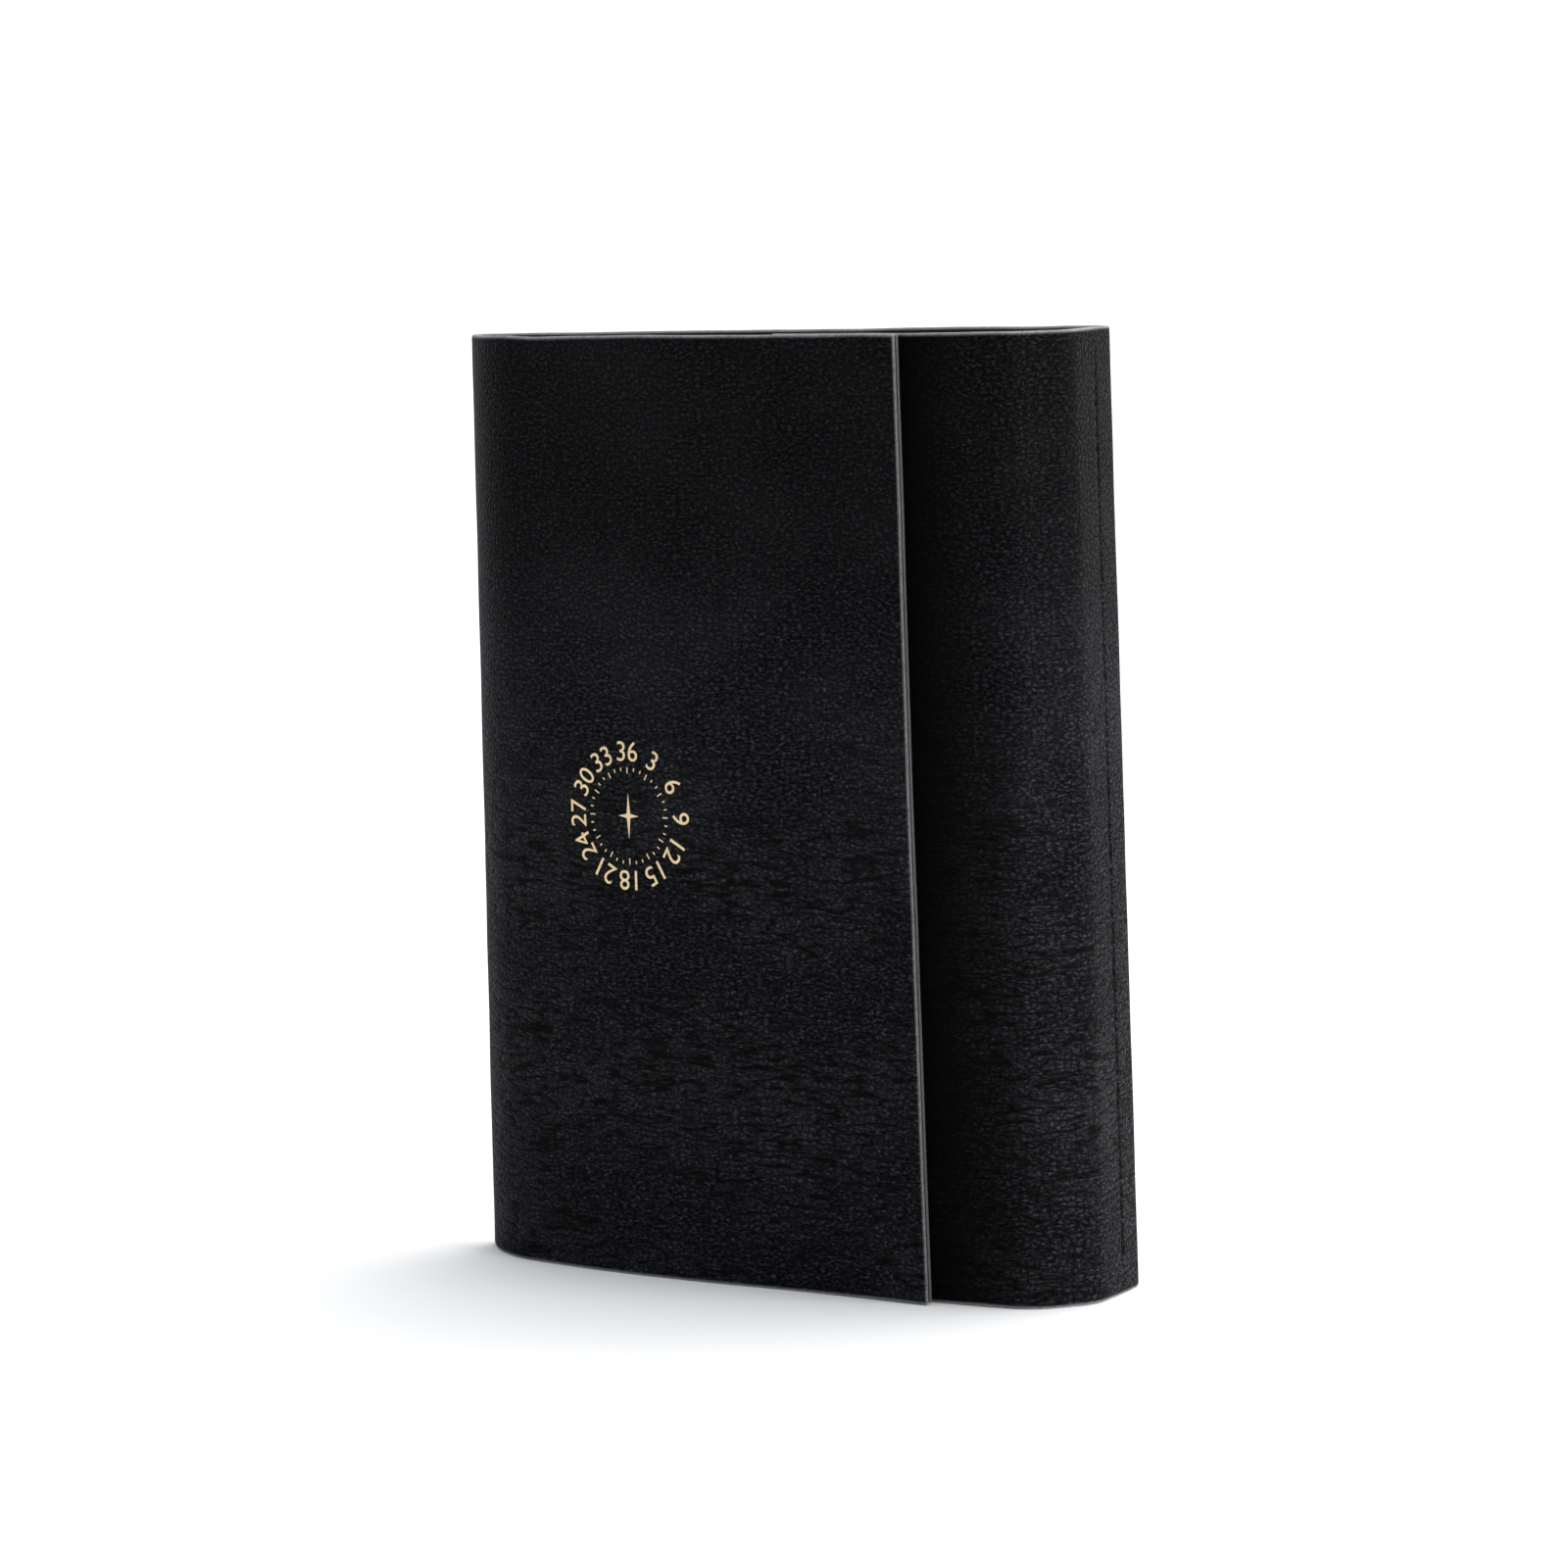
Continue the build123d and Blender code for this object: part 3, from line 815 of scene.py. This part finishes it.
# ---------------------------------------------------------------- settings
def a_length(name, description, default):
    """Setting for a length."""
    return FloatProperty(name=name, description=description, default=default, unit="LENGTH", precision=5)


def a_colour(name, description, default):
    """Setting for a colour."""
    return FloatVectorProperty(name=name, description=description, default=default, subtype="COLOR")


def an_angle(name, description, degrees):
    """Setting for an angle."""
    return FloatProperty(name=name, description=description, default=radians(degrees), subtype="ANGLE")


def a_strength(name, description, default, most):
    """Setting for a strength."""
    return FloatProperty(name=name, description=description, default=default,
                         min=0.0, max=most, subtype="FACTOR")


class LogbookShape(bpy.types.PropertyGroup):
    """Uneven shape of the hide"""

    swell: a_length("Swell", "Height of the soft swelling of the hide", 0.45 * MM)
    lip_lift: a_length("Lip lift", "How far the flap's free edge stands off", 0.9 * MM)
    lean_left: a_length("Left lean", "Lean of the left fold at the head", 2.4 * MM)
    lean_right: a_length("Right lean", "Lean of the right end at the head", 2.3 * MM)
    lip_foot: a_length("Lip foot", "Extra reach of the free edge at the foot", 0.9 * MM)
    lip_head: a_length("Lip head", "Shorter reach of the free edge at the head", 1.3 * MM)
    edge_wave: a_length("Edge wave", "Rise and fall of the cut head edge", 0.55 * MM)


class LogbookFinish(bpy.types.PropertyGroup):
    """Colours and finish"""

    hide_dark: a_colour("Hide, dark", "Nubuck in its darker patches", (0.0020, 0.0023, 0.0031))
    hide_light: a_colour("Hide, light", "Nubuck in its lighter patches", (0.0118, 0.0122, 0.0134))
    nap: a_strength("Nap", "Strength of the velvety sheen", 0.13, 1.0)
    creases: a_strength("Creases", "Strength of the creases", 1.0, 2.0)
    # slant of the painted shade strip beside the flap's free edge
    strip_slant: FloatProperty(name="Strip slant", description="Slant of the strip beside the flap",
                               default=0.012)
    # cut edge colour: rubbed grey fibres, and painted highlight on the rounded edges
    edge: a_colour("Cut edge", "Rubbed fibres of a cut edge", (0.33, 0.33, 0.335))
    foil: a_colour("Foil", "Gold foil", (0.82, 0.65, 0.39))
    foil_dark: a_colour("Worn foil", "Gold foil where it is worn", (0.72, 0.55, 0.31))
    book_cloth: a_colour("Book cloth", "Cover of the logbook", (0.022, 0.034, 0.075))
    paper: a_colour("Paper", "Leaves of the logbook", (0.82, 0.79, 0.69))


class LogbookEmblem(bpy.types.PropertyGroup):
    """Foil dial on the flap"""

    radius: a_length("Radius", "Outer radius of the dial", 17.8 * MM)
    from_fold: a_length("From fold", "Distance from the start of the flap", 34.0 * MM)
    height: a_length("Height", "Height of the dial's middle", 0.494 * HEIGHT)
    figure_size: a_length("Figure size", "Height of the dial's figures", 4.9 * MM)


class LogbookStage(bpy.types.PropertyGroup):
    """Camera and light"""

    azimuth: an_angle("Azimuth", "Camera's turn towards the right end", 26.22)
    elevation: an_angle("Elevation", "Camera's height above the horizon", 6.48)
    roll: an_angle("Roll", "Camera's roll", -1.62)
    distance: a_length("Distance", "Camera's distance", 1.313)
    lens: FloatProperty(name="Lens", description="Focal length in millimetres", default=126.0)


# ---------------------------------------------------------------- stage
CAMERA_TARGET = (4.8 * MM, 0.0, 120.2 * MM)
SENSOR = 36.0
CLIP_START = 0.01
FLOOR_HALF = 40.0
FLOOR_DROP = 0.02 * MM
SUN_PLACE = (0.45, 0.6, 1.3)
SUN_STRENGTH = 1.9
SUN_SPREAD = radians(70)
SIDE_LIGHT_PLACE = (1.5, -0.15, 0.45)
SIDE_LIGHT_TARGET = (0.05, 0.0, 0.11)
SIDE_LIGHT_SIZE = 0.9
SIDE_LIGHT_POWER = 15.0
WHITE_SIDE = (0.38, 0.84, 0.39)
DIM_SIDE_COLOUR = (0.3, 0.33, 0.38)
SKY_STRENGTH = 1.02


def aim(light, place, target):
    """Places a light and points it at a target."""
    light.location = place
    light.rotation_mode = "QUATERNION"
    light.rotation_quaternion = (Vector(target) - Vector(place)).to_track_quat("-Z", "Y")


class LOGBOOK_OT_studio(bpy.types.Operator):
    """Camera, pale floor and soft light"""

    bl_idname = "logbook.studio"
    bl_label = "Studio"

    def execute(self, context):
        stage = context.scene.logbook_stage
        self.add_camera(context, stage)
        self.add_floor()
        self.add_lights(context)
        context.scene.view_settings.view_transform = "Standard"
        return {"FINISHED"}

    def add_camera(self, context, stage):
        data = bpy.data.cameras.new("camera")
        data.lens = stage.lens
        data.sensor_width = SENSOR
        data.clip_start = CLIP_START
        made = new_object("camera", data)
        flat = cos(stage.elevation)
        back = Vector((sin(stage.azimuth) * flat, -cos(stage.azimuth) * flat, sin(stage.elevation)))
        right = Vector((0, 0, 1)).cross(back).normalized()
        up = back.cross(right)
        turned_right = right * cos(stage.roll) + up * sin(stage.roll)
        turned_up = up * cos(stage.roll) - right * sin(stage.roll)
        axes = Matrix((turned_right, turned_up, back)).transposed()
        place = Vector(CAMERA_TARGET) + back * stage.distance
        made.matrix_world = Matrix.Translation(place) @ axes.to_4x4()
        context.scene.camera = made

    def add_floor(self):
        mesh = bpy.data.meshes.new("floor")
        corners = [(x * FLOOR_HALF, y * FLOOR_HALF, 0) for x, y in ((-1, -1), (1, -1), (1, 1), (-1, 1))]
        mesh.from_pydata(corners, [], [(0, 1, 2, 3)])
        floor = new_object("floor", mesh)
        floor.location.z = -FLOOR_DROP
        paint(floor, shared(studio_white))

    def add_lights(self, context):
        context.scene.world = self.studio_world()
        sun = bpy.data.lights.new("overhead_light", "SUN")
        sun.energy = SUN_STRENGTH
        sun.angle = SUN_SPREAD
        aim(new_object("overhead_light", sun), SUN_PLACE, (0.0, 0.0, 0.0))
        side = bpy.data.lights.new("right_light", "AREA")
        side.size = SIDE_LIGHT_SIZE
        side.energy = SIDE_LIGHT_POWER
        aim(new_object("right_light", side), SIDE_LIGHT_PLACE, SIDE_LIGHT_TARGET)

    def studio_world(self):
        """White behind, above and to the right; dimmer and cooler in front on the left."""
        world = bpy.data.worlds.new("studio")
        world.use_nodes = True
        tree = world.node_tree
        direction = add(tree, "ShaderNodeTexCoord").outputs["Generated"]
        toward = vector_math(tree, "DOT_PRODUCT", direction, WHITE_SIDE).outputs["Value"]
        colour = blend_colour(tree, ramp(tree, toward, -0.35, 0.4), DIM_SIDE_COLOUR, (1.0, 1.0, 1.0))
        give(tree, tree.nodes["Background"].inputs, Color=colour, Strength=SKY_STRENGTH)
        return world


# ---------------------------------------------------------------- wrap
def stretches():
    """The four pieces of hide, each across one fold.

    Each has a name, a span, its free ends, two bodies, the fold's two sides and the panels it stands for.
    """
    folds = {run: run_start(run) for run in RUNS}
    return (
        ("back_and_spine", BACK_MIDDLE, SPINE_SPLIT, (False, False), ("back", "spine_strip"),
         folds["left_fold"], folds["spine"], ("back_panel", "spine_strip")),
        ("flap", SPINE_SPLIT, SHEET_LENGTH, (False, True), ("spine_strip", "front_flap"),
         SPINE_SPLIT + 0.3 * MM, folds["flap_body"] - 3 * MM, ("front_flap",)),
        ("back_and_side", SIDE_SPLIT, BACK_MIDDLE, (False, False), ("back", "side_strip"),
         folds["back"] + 1 * MM, folds["right_fold"], ("side_strip",)),
        ("wing", 0.0, SIDE_SPLIT, (True, False), ("side_strip", "wing"),
         folds["side"] + 0.5 * MM, folds["shoulder_front"] - 2 * MM, ("wing",)),
    )


def make_hide(layer, depths, ends, edge, pitch, material):
    """Builds one layer of the wrap in its four pieces and hides the CAD panels they stand for."""
    for name, first, last, free, bodies, from_side, to_side, nodes in stretches():
        made = sheet_piece(f"{name}_{layer}", (first, last), free, depths, ends, edge, pitch)
        paint(made, material)
        start, end = (Vector((*walk(distance, START)[:2], 0.0)) for distance in (from_side, to_side))
        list(bodies)
        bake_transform(made)
        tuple(start)
        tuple(end)
        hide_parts(*[f"{node}_{layer}" for node in nodes])


class LOGBOOK_OT_leather(bpy.types.Operator):
    """Nubuck of the back, the folds, the flap and the wing"""

    bl_idname = "logbook.leather"
    bl_label = "Nubuck wrap"

    def execute(self, context):
        edge = 0.95 * MM, 0.5 * MM
        make_hide("leather", (0.0, LEATHER), (0.0, HEIGHT), edge, 1.7 * MM, shared(nubuck))
        return {"FINISHED"}


class LOGBOOK_OT_lining(bpy.types.Operator):
    """Lining glued inside the nubuck"""

    bl_idname = "logbook.lining"
    bl_label = "Lining"

    def execute(self, context):
        edge = 0.5 * MM, 0.35 * MM
        ends = 0.3 * MM, HEIGHT - 0.3 * MM
        make_hide("lining", (LINING_START, WALL), ends, edge, 2.4 * MM, shared(lining_leather))
        return {"FINISHED"}


def stitch(work, centre, along, out, length, radius):
    """One short thread that rises out of its hole, runs and dips again."""
    rings, around = 7, 8
    side = along.cross(out).normalized()
    loops = []
    for index in range(rings):
        share = index / (rings - 1) * 2 - 1
        thick = radius * sqrt(max(1 - share ** 4, 0.03))
        middle = centre + along * (share * length / 2) - out * (radius * 1.1 * share * share)
        loop = []
        for angle in turns(around):
            place = middle + side * (thick * cos(angle)) + out * (thick * sin(angle))
            loop.append(work.verts.new(place))
        loops.append(loop)
    skin(work, loops)
    work.faces.new(list(reversed(loops[0])))
    work.faces.new(loops[-1])


def finish_stitches(work, name, body, node):
    """Turns drawn stitches into a piece that rides on a body and stands for a node."""
    bmesh.ops.recalc_face_normals(work, faces=work.faces)
    made = from_bmesh(name, work)
    made.data.shade_smooth()
    paint(made, shared(waxed_thread))
    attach(made, body)
    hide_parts(node)


class LOGBOOK_OT_side_seam(bpy.types.Operator):
    """Line of sunk stitches on the right end"""

    bl_idname = "logbook.side_seam"
    bl_label = "Side seam"

    def execute(self, context):
        work = bmesh.new()
        count = int((SEAM_HIGH - SEAM_LOW) / SEAM_PITCH)
        sunk, step_up = 0.05 * MM, 0.5 * MM
        for index in range(count):
            z = SEAM_LOW + (index + 0.5) * SEAM_PITCH
            place = SEAM_AT + 0.1 * MM * sin(index * 2.4)
            centre = on_sheet(place, z, sunk)
            along = (on_sheet(place, z + step_up, sunk) - centre).normalized()
            out = (centre - on_sheet(place, z, 1.0 * MM)).normalized()
            stitch(work, centre, along, out, 2.5 * MM, 0.24 * MM)
        finish_stitches(work, "side_seam_stitches", "side_strip", "side_stitching")
        return {"FINISHED"}


FOIL = 0.04 * MM
FOIL_LIFT = 0.03 * MM


class LOGBOOK_OT_emblem(bpy.types.Operator):
    """Foil dial with plain figures, stamped on the flap"""

    bl_idname = "logbook.emblem"
    bl_label = "Foil dial"

    def execute(self, context):
        emblem = context.scene.logbook_emblem
        work = bmesh.new()
        middle = emblem.radius - emblem.figure_size / 2
        for index in range(12):
            angle = radians(90 - 30 * index)
            figure = str(36 if index == 0 else 3 * index)
            self.add_figure(work, figure, 1.3 * emblem.figure_size, middle, angle)
        inner = emblem.radius - emblem.figure_size - 1.1 * MM
        for index in range(36):
            length = 1.5 * MM if index % 3 == 0 else 0.8 * MM
            self.add_tick(work, inner, length, radians(10 * index), 0.3 * MM)
        self.add_needle(work, 5.6 * MM, 1.5 * MM)
        self.lay_on_flap(work, emblem)
        made = from_bmesh("foil_dial", work)
        paint(made, shared(gold_foil))
        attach(made, "front_flap")
        return {"FINISHED"}

    def add_figure(self, work, text, size, radius, angle):
        """A plain figure, upright along the dial's radius."""
        curve = bpy.data.curves.new("figure", "FONT")
        curve.body = text
        curve.size = size * 1.08
        curve.align_x = "CENTER"
        curve.align_y = "CENTER"
        curve.extrude = FOIL / 2
        curve.resolution_u = 4
        made = new_object("figure", curve)
        mesh = bpy.data.meshes.new_from_object(made)
        turn = Matrix.Translation((radius * cos(angle), radius * sin(angle), 0))
        turn = turn @ Matrix.Rotation(angle - pi / 2, 4, "Z")
        mesh.transform(turn)
        work.from_mesh(mesh)
        bpy.data.objects.remove(made)
        bpy.data.curves.remove(curve)
        bpy.data.meshes.remove(mesh)

    def add_prism(self, work, outline):
        """Thin closed prism of an outline."""
        top = [work.verts.new((x, y, FOIL / 2)) for x, y in outline]
        bottom = [work.verts.new((x, y, -FOIL / 2)) for x, y in outline]
        work.faces.new(top)
        work.faces.new(list(reversed(bottom)))
        skin(work, (bottom, top))

    def add_tick(self, work, radius, length, angle, width):
        """Short radial line, ending at a radius."""
        out = Vector((cos(angle), sin(angle)))
        side = Vector((-sin(angle), cos(angle))) * width / 2
        far, near = out * radius, out * (radius - length)
        self.add_prism(work, [tuple(near - side), tuple(far - side), tuple(far + side), tuple(near + side)])

    def add_needle(self, work, length, width):
        """Slim four-pointed needle at the middle of the dial."""
        points = []
        for index in range(8):
            angle = pi / 4 * index
            radius = length * (1.0 if index % 4 == 2 else 0.55) if index % 2 == 0 else width / 2
            points.append((radius * cos(angle), radius * sin(angle)))
        self.add_prism(work, points)

    def lay_on_flap(self, work, emblem):
        """Lays the flat dial on the swelling face of the flap."""
        centre = run_start("flap_body") + emblem.from_fold
        for vertex in work.verts:
            x, y, z = vertex.co
            vertex.co = on_sheet(centre + x, emblem.height + y, -FOIL_LIFT - z)
        bmesh.ops.recalc_face_normals(work, faces=work.faces)


MAGNET_FROM_LIP = 17.0 * MM
KEEPER_FROM_EDGE = 19.0 * MM
DISC_FROM_END = 58.0 * MM
DISC_RADIUS = 8.6 * MM
DISC_EASE = 0.08 * MM
DISC_LOW = LINING_START + 0.2 * MM
DISC_HIGH = LINING_START + 0.75 * MM


class LOGBOOK_OT_closure(bpy.types.Operator):
    """Magnets and keepers sealed between the leather and its lining"""

    bl_idname = "logbook.closure"
    bl_label = "Magnets and keepers"

    def execute(self, context):
        for node, body, distance in (
            ("flap_magnets", "front_flap", SHEET_LENGTH - MAGNET_FROM_LIP),
            ("wing_keepers", "wing", KEEPER_FROM_EDGE),
        ):
            work = bmesh.new()
            for z in (DISC_FROM_END, HEIGHT - DISC_FROM_END):
                self.add_disc(work, distance, z)
            bmesh.ops.recalc_face_normals(work, faces=work.faces)
            made = from_bmesh(node + "_discs", work)
            paint(made, shared(plated_steel))
            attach(made, body)
            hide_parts(node)
        return {"FINISHED"}

    def add_disc(self, work, distance, z):
        """Thin disc with eased edges that follows the sheet, let into the outer side of the lining."""
        outer = ((0.5, DISC_LOW), (0.985, DISC_LOW), (1.0, DISC_LOW + DISC_EASE))
        inner = ((1.0, DISC_HIGH - DISC_EASE), (0.985, DISC_HIGH), (0.5, DISC_HIGH))
        rings = []
        for share, depth in outer + inner:
            reach = share * DISC_RADIUS
            ring = []
            for angle in turns(48):
                place = on_sheet(distance + reach * cos(angle), z + reach * sin(angle), depth)
                ring.append(work.verts.new(place))
            rings.append(ring)
        skin(work, rings)
        for ring, depth in ((rings[0], DISC_LOW), (rings[-1], DISC_HIGH)):
            middle = work.verts.new(on_sheet(distance, z, depth))
            for here, after in zip(ring, ring[1:] + ring[:1]):
                work.faces.new((here, after, middle))


class LOGBOOK_OT_fittings(bpy.types.Operator):
    """Cover sleeve, slip pocket and pen loops"""

    bl_idname = "logbook.fittings"
    bl_label = "Sleeve, pocket and pen loops"

    def execute(self, context):
        for node, body, bevel in (
            ("cover_sleeve", "back", 0.3 * MM),
            ("cover_sleeve_welt", "back", 0.15 * MM),
            ("document_pocket", "wing", 0.3 * MM),
            ("document_pocket_welt", "wing", 0.15 * MM),
            ("pen_loop_band", "side_strip", 0.25 * MM),
            ("pen_loop_lower", "side_strip", 0.3 * MM),
            ("pen_loop_upper", "side_strip", 0.3 * MM),
        ):
            made = soft_copy(node, node + "_soft", bevel, shaped=body == "side_strip")
            paint(made, shared(fitting_leather))
            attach(made, body)
        for node, body in (("cover_sleeve_stitching", "back"), ("document_pocket_stitching", "wing")):
            self.round_stitches(node, body)
        return {"FINISHED"}

    def round_stitches(self, node, body):
        """Round threads in the places of a node's plain stitches."""
        source = bmesh.new()
        source.from_mesh(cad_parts[node].data)
        work = bmesh.new()
        for island in islands(source):
            points = [vertex.co for vertex in island]
            centre = sum(points, Vector()) / len(points)
            spans = [max(p[axis] for p in points) - min(p[axis] for p in points) for axis in range(3)]
            longest = spans.index(max(spans[0], spans[2]))
            along = Vector((1, 0, 0)) if longest == 0 else Vector((0, 0, 1))
            stitch(work, centre + Vector((0, 0.1 * MM, 0)), along, Vector((0, -1, 0)), 2.3 * MM, 0.26 * MM)
        source.free()
        finish_stitches(work, node + "_threads", body, node)


def islands(work):
    """Groups of joined vertices, in the same order each run."""
    left = dict.fromkeys(work.verts)
    while left:
        queue = [left.popitem()[0]]
        found = []
        while queue:
            vertex = queue.pop()
            found.append(vertex)
            for edge in vertex.link_edges:
                other = edge.other_vert(vertex)
                if other in left:
                    del left[other]
                    queue.append(other)
        yield found


# ---------------------------------------------------------------- logbook
class LOGBOOK_OT_covers(bpy.types.Operator):
    """Cloth covers of the logbook"""

    bl_idname = "logbook.covers"
    bl_label = "Logbook covers"

    def execute(self, context):
        for node, body in (
            ("logbook_back_cover", "back"),
            ("logbook_spine", "logbook_spine"),
            ("logbook_front_cover", "logbook_front"),
        ):
            made = soft_copy(node, node + "_cloth", 0.35 * MM)
            paint(made, shared(book_cloth))
            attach(made, body)
        for node in ("logbook_back_endpaper", "logbook_front_endpaper"):
            paint(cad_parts[node], shared(end_paper))
        return {"FINISHED"}


class LOGBOOK_OT_leaves(bpy.types.Operator):
    """Sewn sections and turning sections of leaves"""

    bl_idname = "logbook.leaves"
    bl_label = "Leaves"

    def execute(self, context):
        sections = [(f"sewn_section_{index}", "back") for index in range(1, 4)]
        sections += [(f"turning_section_{index}", f"leaves_{index}") for index in range(1, 5)]
        for node, body in sections:
            made = soft_copy(node, node + "_leaves", 0.12 * MM, 2)
            paint(made, shared(ledger_paper))
            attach(made, body)
        return {"FINISHED"}


class LOGBOOK_OT_binding(bpy.types.Operator):
    """Tapes, spine cloth and end bands"""

    bl_idname = "logbook.binding"
    bl_label = "Binding"

    def execute(self, context):
        for node in ("sewing_tapes", "spine_cloth", "head_and_tail_bands"):
            paint(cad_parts[node], shared(cotton_cloth))
        return {"FINISHED"}


# ---------------------------------------------------------------- panel and registration
OPERATORS = (
    LOGBOOK_OT_studio,
    LOGBOOK_OT_leather,
    LOGBOOK_OT_lining,
    LOGBOOK_OT_side_seam,
    LOGBOOK_OT_emblem,
    LOGBOOK_OT_closure,
    LOGBOOK_OT_fittings,
    LOGBOOK_OT_covers,
    LOGBOOK_OT_leaves,
    LOGBOOK_OT_binding,
)


class LOGBOOK_PT_panel(bpy.types.Panel):
    """Lists the pieces of the logbook"""

    bl_label = "Logbook"
    bl_idname = "LOGBOOK_PT_panel"
    bl_space_type = "VIEW_3D"
    bl_region_type = "UI"
    bl_category = "Logbook"

    def draw(self, context):
        for operator in OPERATORS:
            self.layout.operator(operator.bl_idname)


SETTINGS = {
    "logbook_shape": LogbookShape,
    "logbook_finish": LogbookFinish,
    "logbook_emblem": LogbookEmblem,
    "logbook_stage": LogbookStage,
}


def register():
    for name, settings in SETTINGS.items():
        bpy.utils.register_class(settings)
        setattr(bpy.types.Scene, name, PointerProperty(type=settings))
    for operator in OPERATORS:
        bpy.utils.register_class(operator)
    bpy.utils.register_class(LOGBOOK_PT_panel)


def unregister():
    bpy.utils.unregister_class(LOGBOOK_PT_panel)
    for operator in reversed(OPERATORS):
        bpy.utils.unregister_class(operator)
    for name, settings in SETTINGS.items():
        delattr(bpy.types.Scene, name)
        bpy.utils.unregister_class(settings)


def main():
    register()
    for operator in OPERATORS:
        group_name, action = operator.bl_idname.split(".")
        getattr(getattr(bpy.ops, group_name), action)()


if __name__ == "__main__":
    main()
